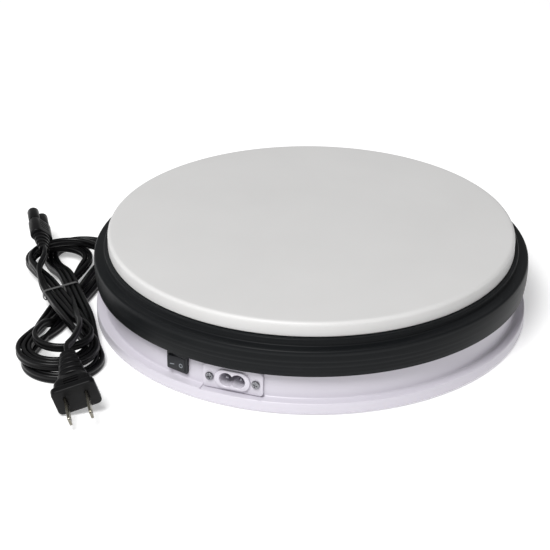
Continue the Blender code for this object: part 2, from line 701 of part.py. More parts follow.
def wires():
    """Three short leads between the inlet, the switch and the motor."""
    radius = 0.9 * MM
    back = INLET_FLAT_Y - GAP - INLET_PLATE + 24.5 * MM
    turn = Matrix.Rotation(radians(SWITCH_ANGLE), 3, "Z")
    tab_y = 18 * MM - WALL_R
    tabs = [turn @ Vector((side * 3.5 * MM, tab_y, SWITCH_Z)) for side in (-1, 1)]
    step = turn @ Vector((0, 6 * MM, 0))
    runs = {
        "wire_inlet_to_switch": (BROWN, [
            (-PIN_X, back, INLET_Z), (-PIN_X - MM, back + 7 * MM, INLET_Z),
            (-14 * MM, back + 13 * MM, 14 * MM), (-24 * MM, back + 13 * MM, 15 * MM),
            tabs[1] + 2 * step, tabs[1] + step / 2, tabs[1]]),
        "wire_switch_to_motor": (BROWN, [
            tabs[0], tabs[0] + step, tabs[0] + 3 * step, (-46 * MM, -60 * MM, 9 * MM),
            (-36 * MM, -20 * MM, 6 * MM), (-14 * MM, 12 * MM, 6 * MM),
            (-5 * MM, 24 * MM, 12 * MM), (-5 * MM, MOTOR_Y - MOTOR_R - 1.4 * MM, 18 * MM)]),
        "wire_inlet_to_motor": (BLUE, [
            (PIN_X, back, INLET_Z), (PIN_X + MM, back + 9 * MM, INLET_Z),
            (12 * MM, -80 * MM, 9 * MM), (16 * MM, -40 * MM, 6 * MM), (12 * MM, 4 * MM, 6 * MM),
            (5 * MM, 24 * MM, 12 * MM), (5 * MM, MOTOR_Y - MOTOR_R - 1.4 * MM, 18 * MM)]),
    }
    for name, (look, knots) in runs.items():
        tube(name, smooth_route(knots, 2), radius, look)


# ---------------------------------------------------------------- mains lead


def hank_frame():
    turn = Matrix.Rotation(radians(HANK_TURN), 4, "Z")
    return Matrix.Translation((HANK_CENTRE.x, HANK_CENTRE.y, 0)) @ turn


def hank_half_width(along):
    """Half the hank's width at a place along it: two round lobes and a narrow waist."""
    lobe = HANK_REACH - HANK_LOBE
    past = abs(along) - lobe
    if past > 0:
        return (max(HANK_LOBE**2 - past**2, 0)) ** 0.5
    blend = 0.5 - 0.5 * cos(pi * abs(along) / lobe)
    return HANK_WAIST + (HANK_LOBE - HANK_WAIST) * blend


def cord_hank():
    steps = 36
    stations = [HANK_REACH * sin(radians(90 * (2 * i / steps - 1))) for i in range(steps + 1)]
    right = [(hank_half_width(s), s) for s in stations]
    left = [(-w, s) for w, s in reversed(right[1:-1])]
    obj = plate("cord_hank", right + left, HANK_BOTTOM, HANK_TOP, CORD_BLACK)
    obj.matrix_world = hank_frame()


def connector_matrix():
    """Its own -Z axis runs back along the cord, and +Z out of its front face."""
    heading = Matrix.Rotation(radians(CONNECTOR_HEADING), 4, "Z")
    lie = Matrix.Rotation(-pi / 2, 4, "X")
    roll = Matrix.Rotation(radians(CONNECTOR_ROLL), 4, "Z")
    return Matrix.Translation(CONNECTOR_FACE) @ heading @ lie @ roll


def plug_matrix():
    heading = Matrix.Rotation(radians(PLUG_HEADING), 4, "Z")
    pitch = Matrix.Rotation(radians(-PLUG_PITCH), 4, "X")
    lie = Matrix.Rotation(-pi / 2, 4, "X")
    roll = Matrix.Rotation(radians(PLUG_ROLL), 4, "Z")
    return Matrix.Translation(PLUG_FACE) @ heading @ pitch @ lie @ roll


def tapered_relief(name, start, length, width, height, matrix):
    """A ribbed strain relief from a moulding's back, at its own z = start, down the cord."""
    profile = []
    ribs = 4
    for i in range(ribs):
        share = i / (ribs - 1)
        size = 1 - 0.45 * share
        z = start - length * i / ribs
        profile += [(size, z), (size, z - length * 0.16)]
        if i < ribs - 1:
            profile += [(size - 0.14, z - length * 0.16), (size - 0.14, z - length * 0.25)]
    profile += [(0, profile[-1][1]), (0, start)]
    obj = turned(name, profile, CORD_BLACK, 12)
    obj.data.transform(Matrix.Diagonal((width / 2, height / 2, 1, 1)))
    obj.matrix_world = matrix
    return obj


def cord_connector():
    matrix = connector_matrix()
    nose = plate("cord_connector", figure_eight(SOCKET_LOBE_X, 3.8 * MM, 8), -14 * MM, 0,
                 CORD_BLACK)
    body = plate("grip", rounded_rectangle(15.4 * MM, 9.2 * MM, 3.4 * MM), -34 * MM, -12 * MM,
                 CORD_BLACK)
    join(nose, body)
    for side in (-1, 1):
        spot = (side * PIN_X, 0)
        cut(nose, cylinder("contact", 1.5 * MM, -11 * MM, 5 * MM, CORD_BLACK, 12, spot))
    nose.matrix_world = matrix
    tapered_relief("connector_relief", -34.3 * MM, 20 * MM, 12 * MM, 8 * MM, matrix)


def cord_plug():
    matrix = plug_matrix()
    body = plate("plug_body", rounded_rectangle(24.5 * MM, 18.5 * MM, 3 * MM, 3), -4.5 * MM, 0,
                 CORD_BLACK)
    grip = plate("grip", rounded_rectangle(22 * MM, 16 * MM, 3 * MM, 3), -8.5 * MM, -4 * MM,
                 CORD_BLACK)
    bm = bmesh.new()
    bmesh.ops.create_cone(bm, cap_ends=True, segments=8, radius1=6.9 * MM, radius2=11.6 * MM,
                          depth=8.5 * MM)
    bmesh.ops.rotate(bm, verts=bm.verts, matrix=Matrix.Rotation(radians(22.5), 3, "Z"))
    bmesh.ops.scale(bm, verts=bm.verts, vec=(1, 0.72, 1))
    bmesh.ops.translate(bm, verts=bm.verts, vec=(0, 0, -12.25 * MM))
    shoulder = from_bmesh("shoulder", bm, CORD_BLACK)
    join(body, grip, shoulder)
    for side in (-1, 1):
        slot = box("slot", (2.1 * MM, 7.0 * MM, 12 * MM), (side * 6.35 * MM, 0, 0), CORD_BLACK)
        cut(body, slot)
    body.matrix_world = matrix
    for number, side in enumerate((-1, 1), 1):
        outline = rounded_rectangle(6.3 * MM, 22.4 * MM, 1.6 * MM, 3)
        blade = plate(f"plug_blade_{number}", outline, -0.75 * MM, 0.75 * MM, BRASS)
        hole = cylinder("hole", 1.6 * MM, -5 * MM, 5 * MM, BRASS, 12, (0, 7.6 * MM))
        cut(blade, hole)
        stand = Matrix.Rotation(pi / 2, 4, "Z") @ Matrix.Rotation(pi / 2, 4, "X")
        shift = Matrix.Translation((side * 6.35 * MM, 0, 5.6 * MM))
        blade.data.transform(shift @ stand)
        blade.matrix_world = matrix
    tapered_relief("plug_relief", -16.8 * MM, 22 * MM, 12.5 * MM, 9 * MM, matrix)


def leads():
    """The two stretches of cord between the hank and the connector, and the hank and the plug."""
    connector = connector_matrix()
    start = connector @ Vector((0, 0, -53.6 * MM))
    out = (connector.to_3x3() @ Vector((0, 0, -1))).normalized()
    frame = hank_frame()
    knots = [
        start,
        start + out * 6 * MM,
        frame @ Vector((-8.0 * MM, 24 * MM, LEAD_Z)),
        frame @ Vector((-2.0 * MM, 12 * MM, LEAD_Z)),
        frame @ Vector((3.0 * MM, 2 * MM, LEAD_Z)),
    ]
    tube("cord_lead_connector", smooth_route(knots, 2), CORD_R, CORD_BLACK)
    plug = plug_matrix()
    start = plug @ Vector((0, 0, -37.9 * MM))
    out = (plug.to_3x3() @ Vector((0, 0, -1))).normalized()
    knots = [
        start,
        start + out * 11 * MM,
        frame @ Vector((0.0 * MM, -58 * MM, LEAD_Z + 0.6 * MM)),
        frame @ Vector((-3.0 * MM, -42 * MM, LEAD_Z)),
        frame @ Vector((-6.0 * MM, -26 * MM, LEAD_Z)),
    ]
    tube("cord_lead_plug", smooth_route(knots, 3), CORD_R, CORD_BLACK)


def twist_tie():
    """A thin strap over the hank's waist, its ends turned down to the surface."""
    half = HANK_WAIST + 3.2 * MM
    outer_top = HANK_TOP + 1.2 * MM
    thick = 0.8 * MM
    corner = 2.5 * MM
    outer = [(half, HANK_BOTTOM)]
    outer += arc_points((half - corner, outer_top - corner), corner, 0, 90, 3)
    outer += arc_points((corner - half, outer_top - corner), corner, 90, 180, 3)
    outer += [(-half, HANK_BOTTOM), (thick - half, HANK_BOTTOM)]
    inner = corner - thick
    outer += arc_points((corner - half, outer_top - corner), inner, 180, 90, 3)
    outer += arc_points((half - corner, outer_top - corner), inner, 90, 0, 3)
    outer += [(half - thick, HANK_BOTTOM)]
    obj = plate("twist_tie", outer, -2 * MM, 2 * MM, CORD_BLACK)
    obj.data.transform(Matrix.Rotation(pi / 2, 4, "X"))
    obj.data.transform(Matrix.Translation((0, -12 * MM, 0)))
    obj.matrix_world = hank_frame()


# ---------------------------------------------------------------- assembly

base_housing()
bottom_plate()
feet_and_screws()
inlet()
switch()
spindle()
turning = tray() + drive_gear() + platter()
parent_all(empty("turning_axis", (0, 0, TRAY_DECK_UNDERSIDE)), turning)
motor()
wires()
for index, roller_angle in enumerate(ROLLER_ANGLES, 1):
    roller(index, roller_angle)
cord_hank()
cord_connector()
cord_plug()
leads()
twist_tie()
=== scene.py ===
import json
from math import atan2, cos, pi, radians, sin, sqrt

import bpy
from mathutils import Matrix, Vector


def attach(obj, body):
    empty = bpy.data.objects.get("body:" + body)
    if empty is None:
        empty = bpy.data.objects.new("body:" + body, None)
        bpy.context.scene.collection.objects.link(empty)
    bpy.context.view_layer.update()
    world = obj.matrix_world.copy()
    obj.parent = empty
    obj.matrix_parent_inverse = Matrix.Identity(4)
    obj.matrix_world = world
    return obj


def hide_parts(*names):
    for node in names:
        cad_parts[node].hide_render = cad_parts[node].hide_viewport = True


mm = 0.001
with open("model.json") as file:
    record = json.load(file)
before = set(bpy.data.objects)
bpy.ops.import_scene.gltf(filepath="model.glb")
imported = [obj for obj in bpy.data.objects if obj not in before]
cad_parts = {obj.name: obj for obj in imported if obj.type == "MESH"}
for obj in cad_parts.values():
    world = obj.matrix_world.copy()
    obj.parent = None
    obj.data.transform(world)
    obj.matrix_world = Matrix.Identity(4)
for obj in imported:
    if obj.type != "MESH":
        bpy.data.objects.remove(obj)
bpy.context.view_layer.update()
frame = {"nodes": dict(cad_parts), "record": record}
scene = bpy.context.scene
print("frame loaded:", len(frame["nodes"]), "CAD nodes")


# Camera, floor and lights

camera = {
    "place": (0.3888, -1.0654, 0.6027),
    "turn": (62.89, -0.18, 21.26),  # degrees about X, Y and Z
    "lens": 134.0,
    "sensor": 36.0,
}
studio = {
    "floorSize": 12.0,
    "floorColor": (0.90, 0.90, 0.90),
    "floorGlow": 0.30,
    "skyColor": (1.0, 1.0, 1.0),
    "skyStrength": 0.30,
    "keyPlace": (-0.10, -1.55, 2.10),
    "keySize": 1.1,
    "keyPower": 62.0,
    "fillPlace": (-1.5, -0.9, 1.1),
    "fillSize": 1.2,
    "fillPower": 4.0,
}


def aimedArea(name, place, size, power, aim=(0, 0, 0.03)):
    light = bpy.data.lights.new(name, "AREA")
    light.size = size
    light.energy = power
    lamp = bpy.data.objects.new(name, light)
    scene.collection.objects.link(lamp)
    lamp.location = place
    lamp.rotation_euler = (Vector(aim) - Vector(place)).to_track_quat("-Z", "Y").to_euler()
    return lamp


def setStudio():
    eye = bpy.data.cameras.new("camera")
    eye.lens = camera["lens"]
    eye.sensor_width = camera["sensor"]
    eye.clip_start = 0.05
    holder = bpy.data.objects.new("camera", eye)
    scene.collection.objects.link(holder)
    holder.location = camera["place"]
    holder.rotation_euler = [radians(angle) for angle in camera["turn"]]
    scene.camera = holder

    bpy.ops.object.select_all(action="DESELECT")
    bpy.ops.mesh.primitive_plane_add(size=studio["floorSize"], location=(0, 0, 0))
    floor = bpy.context.object
    floor.name = "floor"
    paper = bpy.data.materials.new("floorPaper")
    paper.use_nodes = True
    shader = paper.node_tree.nodes["Principled BSDF"]
    shader.inputs["Base Color"].default_value = (*studio["floorColor"], 1)
    shader.inputs["Roughness"].default_value = 0.9
    shader.inputs["Specular IOR Level"].default_value = 0.2
    shader.inputs["Emission Color"].default_value = (1, 1, 1, 1)
    shader.inputs["Emission Strength"].default_value = studio["floorGlow"]
    floor.data.materials.append(paper)

    sky = bpy.data.worlds.new("studioSky")
    sky.use_nodes = True
    background = sky.node_tree.nodes["Background"]
    background.inputs["Color"].default_value = (*studio["skyColor"], 1)
    background.inputs["Strength"].default_value = studio["skyStrength"]
    scene.world = sky
    scene.view_settings.view_transform = "Standard"
    aimedArea("keyLight", studio["keyPlace"], studio["keySize"], studio["keyPower"])
    aimedArea("fillLight", studio["fillPlace"], studio["fillSize"], studio["fillPower"])


setStudio()
print("studio ready")


# Materials

def newMaterial(name, color, roughness, metallic=0.0):
    made = bpy.data.materials.new(name)
    made.use_nodes = True
    shader = made.node_tree.nodes["Principled BSDF"]
    shader.inputs["Base Color"].default_value = (*color, 1)
    shader.inputs["Roughness"].default_value = roughness
    shader.inputs["Metallic"].default_value = metallic
    made.diffuse_color = (*color, 1)
    return made, made.node_tree, shader


def objectCoordinates(tree, stretch=(1, 1, 1)):
    source = tree.nodes.new("ShaderNodeTexCoord")
    mapping = tree.nodes.new("ShaderNodeMapping")
    mapping.inputs["Scale"].default_value = stretch
    tree.links.new(source.outputs["Object"], mapping.inputs["Vector"])
    return mapping.outputs["Vector"]


def noise(tree, place, scale, detail=3.0, rough=0.5):
    node = tree.nodes.new("ShaderNodeTexNoise")
    node.inputs["Scale"].default_value = scale
    node.inputs["Detail"].default_value = detail
    node.inputs["Roughness"].default_value = rough
    tree.links.new(place, node.inputs["Vector"])
    return node.outputs["Fac"]


def varyColor(tree, shader, fac, low, high, start=0.3, end=0.7):
    ramp = tree.nodes.new("ShaderNodeValToRGB")
    ramp.color_ramp.elements[0].position = start
    ramp.color_ramp.elements[1].position = end
    ramp.color_ramp.elements[0].color = (*low, 1)
    ramp.color_ramp.elements[1].color = (*high, 1)
    tree.links.new(fac, ramp.inputs["Fac"])
    tree.links.new(ramp.outputs["Color"], shader.inputs["Base Color"])


def varyRoughness(tree, shader, fac, low, high):
    span = tree.nodes.new("ShaderNodeMapRange")
    span.inputs["From Min"].default_value = 0.3
    span.inputs["From Max"].default_value = 0.7
    span.inputs["To Min"].default_value = low
    span.inputs["To Max"].default_value = high
    tree.links.new(fac, span.inputs["Value"])
    tree.links.new(span.outputs["Result"], shader.inputs["Roughness"])


def addBump(tree, shader, heights, depth):
    bump = tree.nodes.new("ShaderNodeBump")
    bump.inputs["Strength"].default_value = 1.0
    bump.inputs["Distance"].default_value = depth
    tree.links.new(heights, bump.inputs["Height"])
    tree.links.new(bump.outputs["Normal"], shader.inputs["Normal"])
    return bump


def mixed(color, amount, towards=(1, 1, 1)):
    return tuple(c + (t - c) * amount for c, t in zip(color, towards))


def mouldedPlastic(name, color, roughness, grain=2600, depth=0.02 * mm, mottle=0.03,
                   spread=0.05, shine=0.5):
    made, tree, shader = newMaterial(name, color, roughness)
    shader.inputs["Specular IOR Level"].default_value = shine
    place = objectCoordinates(tree)
    cloud = noise(tree, place, 18, 4)
    varyColor(tree, shader, cloud, mixed(color, mottle, (0, 0, 0)), mixed(color, mottle))
    varyRoughness(tree, shader, noise(tree, place, 140, 5), roughness - spread, roughness + spread)
    addBump(tree, shader, noise(tree, place, grain, 2), depth)
    return made


def turnedPlastic(name, color, roughness):
    # satin black with the faint lines that run round a turned or spun mould
    made, tree, shader = newMaterial(name, color, roughness)
    shader.inputs["Specular IOR Level"].default_value = 0.10
    rings = noise(tree, objectCoordinates(tree, (0.004, 0.004, 1)), 900, 3, 0.7)
    place = objectCoordinates(tree)
    grain = noise(tree, place, 1500, 2)
    varyColor(tree, shader, rings, mixed(color, 0.15, (0, 0, 0)), mixed(color, 0.010), 0.45, 0.75)
    varyRoughness(tree, shader, rings, roughness - 0.04, roughness + 0.05)
    total = tree.nodes.new("ShaderNodeMath")
    total.operation = "MULTIPLY_ADD"
    total.inputs[1].default_value = 1.2
    tree.links.new(rings, total.inputs[0])
    tree.links.new(grain, total.inputs[2])
    addBump(tree, shader, total.outputs["Value"], 0.010 * mm)
    return made


def brushedMetal(name, color, roughness, stretch=(1, 1, 0.05)):
    made, tree, shader = newMaterial(name, color, roughness, 1.0)
    streaks = noise(tree, objectCoordinates(tree, stretch), 4500, 3, 0.6)
    cloud = noise(tree, objectCoordinates(tree), 160, 4)
    varyColor(tree, shader, cloud, mixed(color, 0.22, (0, 0, 0)), mixed(color, 0.10))
    varyRoughness(tree, shader, streaks, roughness - 0.07, roughness + 0.10)
    addBump(tree, shader, streaks, 0.004 * mm)
    return made


finishes = {
    "white_plastic": mouldedPlastic("whiteGlossPlastic", (0.60, 0.575, 0.635), 0.34,
                                    900, 0.003 * mm, 0.012, 0.03),
    "disc_white": mouldedPlastic("discSatinWhite", (0.64, 0.635, 0.63), 0.46, 2400, 0.02 * mm, 0.02),
    "black_plastic": turnedPlastic("turnedBlackPlastic", (0.0075, 0.0085, 0.0095), 0.42),
    "cord_black": mouldedPlastic("cordVinyl", (0.0020, 0.0020, 0.0024), 0.34,
                                 1800, 0.010 * mm, 0.001, 0.05, 0.20),
    "switch_black": mouldedPlastic("switchNylon", (0.008, 0.009, 0.012), 0.34,
                                   3000, 0.004 * mm, 0.006, 0.04, 0.35),
    # partly the steel's own grey, partly painted shade: darkened so the inlet pins in their recess and
    # the screw heads look as dark as their shade
    "steel": brushedMetal("zincSteelWithPaintedShade", (0.22, 0.22, 0.24), 0.22),
    "brass": brushedMetal("bladeMetal", (0.22, 0.205, 0.16), 0.26),
    "bronze": brushedMetal("sinteredBronze", (0.45, 0.32, 0.18), 0.42, (1, 1, 1)),
    "nylon": mouldedPlastic("naturalNylon", (0.72, 0.70, 0.64), 0.50, 1200, 0.02 * mm),
    "rubber": mouldedPlastic("footRubber", (0.03, 0.03, 0.03), 0.78, 2200, 0.05 * mm, 0.02),
    "wire_brown": mouldedPlastic("brownInsulation", (0.16, 0.07, 0.03), 0.45),
    "wire_blue": mouldedPlastic("blueInsulation", (0.03, 0.09, 0.32), 0.45),
}
markPaint = mouldedPlastic("markPaint", (0.20, 0.215, 0.235), 0.5, 3000, 0.01 * mm)
plugVinyl = mouldedPlastic("plugVinyl", (0.0020, 0.0020, 0.0024), 0.40,
                           1500, 0.02 * mm, 0.001, 0.05, 0.16)
# the strap is dark vinyl; its lighter grey is a painted highlight, standing in for the light line along
# the strap
tieVinylWithPaintedHighlight = mouldedPlastic("tieVinylWithPaintedHighlight", (0.10, 0.10, 0.10), 0.35, 1500, 0.01 * mm, 0.02, 0.05, 0.4)
print("materials ready")


# Helpers for modelling

def deselectAll():
    if bpy.context.object and bpy.context.object.mode != "OBJECT":
        bpy.ops.object.mode_set(mode="OBJECT")
    bpy.ops.object.select_all(action="DESELECT")


def makeActive(piece):
    deselectAll()
    piece.select_set(True)
    bpy.context.view_layer.objects.active = piece


def named(name):
    piece = bpy.context.object
    piece.name = name
    piece.data.name = name
    return piece


def applyPlace(piece, matrix=None):
    makeActive(piece)
    if matrix is not None:
        piece.matrix_world = matrix @ piece.matrix_world
    bpy.ops.object.transform_apply(location=True, rotation=True, scale=True)
    return piece


def applyModifiers(piece):
    makeActive(piece)
    for modifier in list(piece.modifiers):
        bpy.ops.object.modifier_apply(modifier=modifier.name)
    return piece


def combine(piece, tool, operation):
    modifier = piece.modifiers.new("shape", "BOOLEAN")
    modifier.operation = operation
    modifier.object = tool
    modifier.solver = "EXACT"
    applyModifiers(piece)
    bpy.data.objects.remove(tool)
    return piece


def cutAway(piece, *tools):
    for tool in tools:
        combine(piece, tool, "DIFFERENCE")
    return piece


def addTo(piece, *tools):
    for tool in tools:
        combine(piece, tool, "UNION")
    return piece


def softenEdges(piece, width, segments=2, angle=35):
    bevel = piece.modifiers.new("edges", "BEVEL")
    bevel.width = width
    bevel.segments = segments
    bevel.limit_method = "ANGLE"
    bevel.angle_limit = radians(angle)
    bevel.use_clamp_overlap = True
    applyModifiers(piece)
    return piece


def chooseEdges(piece, wanted):
    makeActive(piece)
    bpy.ops.object.mode_set(mode="EDIT")
    bpy.ops.mesh.select_mode(type="EDGE")
    bpy.ops.mesh.select_all(action="DESELECT")
    bpy.ops.object.mode_set(mode="OBJECT")
    points = piece.data.vertices
    for edge in piece.data.edges:
        edge.select = wanted(*(points[i].co for i in edge.vertices))
    bpy.ops.object.mode_set(mode="EDIT")


def chooseFaces(piece, wanted):
    makeActive(piece)
    bpy.ops.object.mode_set(mode="EDIT")
    bpy.ops.mesh.select_all(action="DESELECT")
    bpy.ops.object.mode_set(mode="OBJECT")
    for polygon in piece.data.polygons:
        polygon.select = wanted(polygon.normal)
    bpy.ops.object.mode_set(mode="EDIT")


def extrudeChosen(rise, wide, high):
    bpy.ops.mesh.extrude_region_move(TRANSFORM_OT_translate={"value": (0, 0, rise)})
    bpy.ops.transform.resize(value=(wide, high, 1), center_override=(0, 0, 0))


def bevelChosen(piece, wanted, width, segments):
    chooseEdges(piece, wanted)
    bpy.ops.mesh.bevel(offset=width, segments=segments, profile=0.5, affect="EDGES")
    bpy.ops.object.mode_set(mode="OBJECT")
    return piece


def block(name, size, centre=(0, 0, 0)):
    deselectAll()
    bpy.ops.mesh.primitive_cube_add(size=1, location=centre, scale=size)
    return applyPlace(named(name))


def rod(name, radius, bottom, top, spot=(0, 0), steps=48):
    deselectAll()
    bpy.ops.mesh.primitive_cylinder_add(
        vertices=steps, radius=radius, depth=top - bottom,
        location=(spot[0], spot[1], (top + bottom) / 2))
    return applyPlace(named(name))


def upright(a, b):
    return abs(a.z - b.z) > 1e-6 and (a - b).xy.length < 1e-6


def roundedBlock(name, width, height, bottom, top, corner, steps=8):
    piece = block(name, (width, height, top - bottom), (0, 0, (top + bottom) / 2))
    return bevelChosen(piece, upright, min(corner, min(width, height) / 2 * 0.999), steps)


def finishMesh(piece, angle=32):
    makeActive(piece)
    bpy.ops.object.mode_set(mode="EDIT")
    bpy.ops.mesh.select_all(action="SELECT")
    bpy.ops.mesh.remove_doubles(threshold=0.002 * mm)
    bpy.ops.mesh.normals_make_consistent(inside=False)
    bpy.ops.object.mode_set(mode="OBJECT")
    bpy.ops.object.shade_smooth_by_angle(angle=radians(angle))
    return piece


def closeOpenEnd(piece):
    makeActive(piece)
    bpy.ops.object.mode_set(mode="EDIT")
    bpy.ops.mesh.select_all(action="DESELECT")
    bpy.ops.mesh.select_non_manifold()
    bpy.ops.mesh.edge_face_add()
    bpy.ops.object.mode_set(mode="OBJECT")
    return piece


def turnedPiece(name, profile, steps=256, closed=True):
    # a circle is raised and widened ring by ring; a closed profile ends where it starts, and
    # any other gets a face over its first ring and one over its last
    deselectAll()
    firstR, firstZ = profile[0]
    bpy.ops.mesh.primitive_circle_add(vertices=steps, radius=firstR, location=(0, 0, firstZ))
    piece = named(name)
    bpy.ops.object.mode_set(mode="EDIT")
    bpy.ops.mesh.select_all(action="SELECT")
    if not closed:
        bpy.ops.mesh.edge_face_add()
        bpy.ops.mesh.select_mode(type="EDGE")
    ends = [*profile, profile[0]] if closed else profile
    for (r0, z0), (r1, z1) in zip(ends, ends[1:]):
        bpy.ops.mesh.extrude_region_move(TRANSFORM_OT_translate={"value": (0, 0, z1 - z0)})
        bpy.ops.transform.resize(value=(r1 / r0, r1 / r0, 1), center_override=(0, 0, z1))
    bpy.ops.object.mode_set(mode="OBJECT")
    applyPlace(piece)
    finishMesh(piece)
    return piece if closed else closeOpenEnd(piece)


def arc(centre, radius, start, end, steps):
    angles = [radians(start + (end - start) * i / steps) for i in range(steps + 1)]
    return [(centre[0] + radius * cos(a), centre[1] + radius * sin(a)) for a in angles]


def polar(radius, angle):
    return (radius * cos(radians(angle)), radius * sin(radians(angle)))


def flatPlate(name, outline, bottom, top):
    # an outline of points as one face, then extruded
    deselectAll()
    bpy.ops.mesh.primitive_circle_add(vertices=len(outline), radius=mm, location=(0, 0, 0))
    piece = named(name)
    for vertex, (x, y) in zip(piece.data.vertices, outline):
        vertex.co = (x, y, bottom)
    bpy.ops.object.mode_set(mode="EDIT")
    bpy.ops.mesh.select_all(action="SELECT")
    bpy.ops.mesh.edge_face_add()
    bpy.ops.mesh.extrude_region_move(TRANSFORM_OT_translate={"value": (0, 0, top - bottom)})
    bpy.ops.mesh.select_all(action="SELECT")
    bpy.ops.mesh.normals_make_consistent(inside=False)
    bpy.ops.object.mode_set(mode="OBJECT")
    return piece


def copied(piece, name):
    twin = piece.copy()
    twin.data = piece.data.copy()
    twin.name = name
    twin.data.name = name
    scene.collection.objects.link(twin)
    return twin


def settle(piece, material, body, slotName, *replaced):
    piece.data.materials.clear()
    piece.data.materials.append(material)
    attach(piece, body)
    if replaced:
        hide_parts(*replaced)
    return piece


def facingFront(y):
    return Matrix.Translation((0, y, 0)) @ Matrix.Rotation(pi / 2, 4, "X")


# Mains lead: its route first, then the pieces on it

lead = {
    "width": 5.6 * mm,  # of the flat twin cord
    "thick": 3.0 * mm,
    "groove": 0.45 * mm,
    "pitch": 3.3 * mm,  # between runs side by side
    "layer": 5.7 * mm,
    "hankCentre": (-140.0 * mm, -60.5 * mm),
    "hankTurn": 23.5,
    "lobeRadius": 23.4 * mm,  # of the outermost turn
    # middles of the lobes, from the lowest layer up
    "farLobes": ((6.5 * mm, 70.0 * mm), (-7.0 * mm, 54.0 * mm), (-1.0 * mm, 45.0 * mm)),
    "nearLobes": ((1.6 * mm, -67.7 * mm), (-1.6 * mm, -63.0 * mm), (1.6 * mm, -57.0 * mm)),
    "turnSteps": 18,
    "joinAt": 0.56,  # share of the first down run where the connector's end meets the turns
    "leaveAt": 0.60,  # share of the last down run where the plug's end leaves them
    "waistLift": 0.7 * mm,  # the tie passes between the down runs and the up runs
}
connector = {
    "face": (-200.4 * mm, 20.1 * mm, 19.2 * mm),
    "heading": 31.7,
    "roll": 40,
    "lobeX": 3.6 * mm,
    "lobeR": 3.8 * mm,
    "nose": 14 * mm,
    "gripSize": (15.4 * mm, 8.6 * mm),
    "gripStart": 15 * mm,  # distances behind the face
    "gripEnd": 34 * mm,
    "gripCorner": 3.9 * mm,
    "grooves": (18.5 * mm, 21.5 * mm, 24.5 * mm, 27.5 * mm),
    "contactX": 4.3 * mm,
    "contactR": 1.5 * mm,
    "contactDepth": 11 * mm,
    "reliefStart": 34.1 * mm,
    "reliefLength": 19.9 * mm,
    "reliefSize": (12 * mm, 8.4 * mm),
    "reliefEnd": 54.0 * mm,
}
plug = {
    "face": (-75.8 * mm, -175.3 * mm, 13.1 * mm),
    "heading": 214.0,
    "pitch": 14.4,
    "roll": 17.2,
    "size": (26.0 * mm, 19.4 * mm),
    "thick": 4.5 * mm,
    "corner": 3.2 * mm,
    "gripSize": (22.4 * mm, 16.0 * mm),
    "gripStart": 4 * mm,  # distances behind the face
    "gripEnd": 10 * mm,
    "gripCorner": 4.2 * mm,
    "taper": ((3.2 * mm, 0.86, 0.84), (3.5 * mm, 0.72, 0.76)),
    "grooves": (6.2 * mm, 8.2 * mm, 10.2 * mm),
    "slotSize": (2.1 * mm, 7.0 * mm),
    "slotDepth": 6 * mm,
    "bladeX": 6.35 * mm,
    "reliefStart": 16.6 * mm,
    "reliefLength": 21.8 * mm,
    "reliefSize": (17.0 * mm, 11.6 * mm),
    "reliefEnd": 38.4 * mm,
}
blade = {
    "size": (6.3 * mm, 22.4 * mm),
    "thick": 1.5 * mm,
    "corner": 1.6 * mm,
    "holeR": 1.6 * mm,
    "holeAt": 7.6 * mm,
    "middle": 5.6 * mm,  # in front of the plug's face
}


def hankPlace():
    x, y = lead["hankCentre"]
    return Matrix.Translation((x, y, 0)) @ Matrix.Rotation(radians(lead["hankTurn"]), 4, "Z")


def endPlace(end):
    heading = Matrix.Rotation(radians(end["heading"]), 4, "Z")
    pitch = Matrix.Rotation(radians(-end.get("pitch", 0)), 4, "X")
    lie = Matrix.Rotation(-pi / 2, 4, "X")
    roll = Matrix.Rotation(radians(end["roll"]), 4, "Z")
    return Matrix.Translation(end["face"]) @ heading @ pitch @ lie @ roll


def smoothStep(x):
    x = min(max(x, 0), 1)
    return x * x * x * (x * (6 * x - 15) + 10)


def innerTangent(far, near, farRadius, nearRadius, side):
    # the straight run that crosses between two lobes: its normal's angle, start and end
    gap = Vector(near) - Vector(far)
    reach = farRadius + nearRadius
    straight = sqrt(gap.length_squared - reach**2)
    turn = atan2(gap.y, gap.x) - atan2(-side * straight, -reach)
    normal = Vector((cos(turn), sin(turn)))
    return turn, Vector(far) - farRadius * normal, Vector(near) + nearRadius * normal


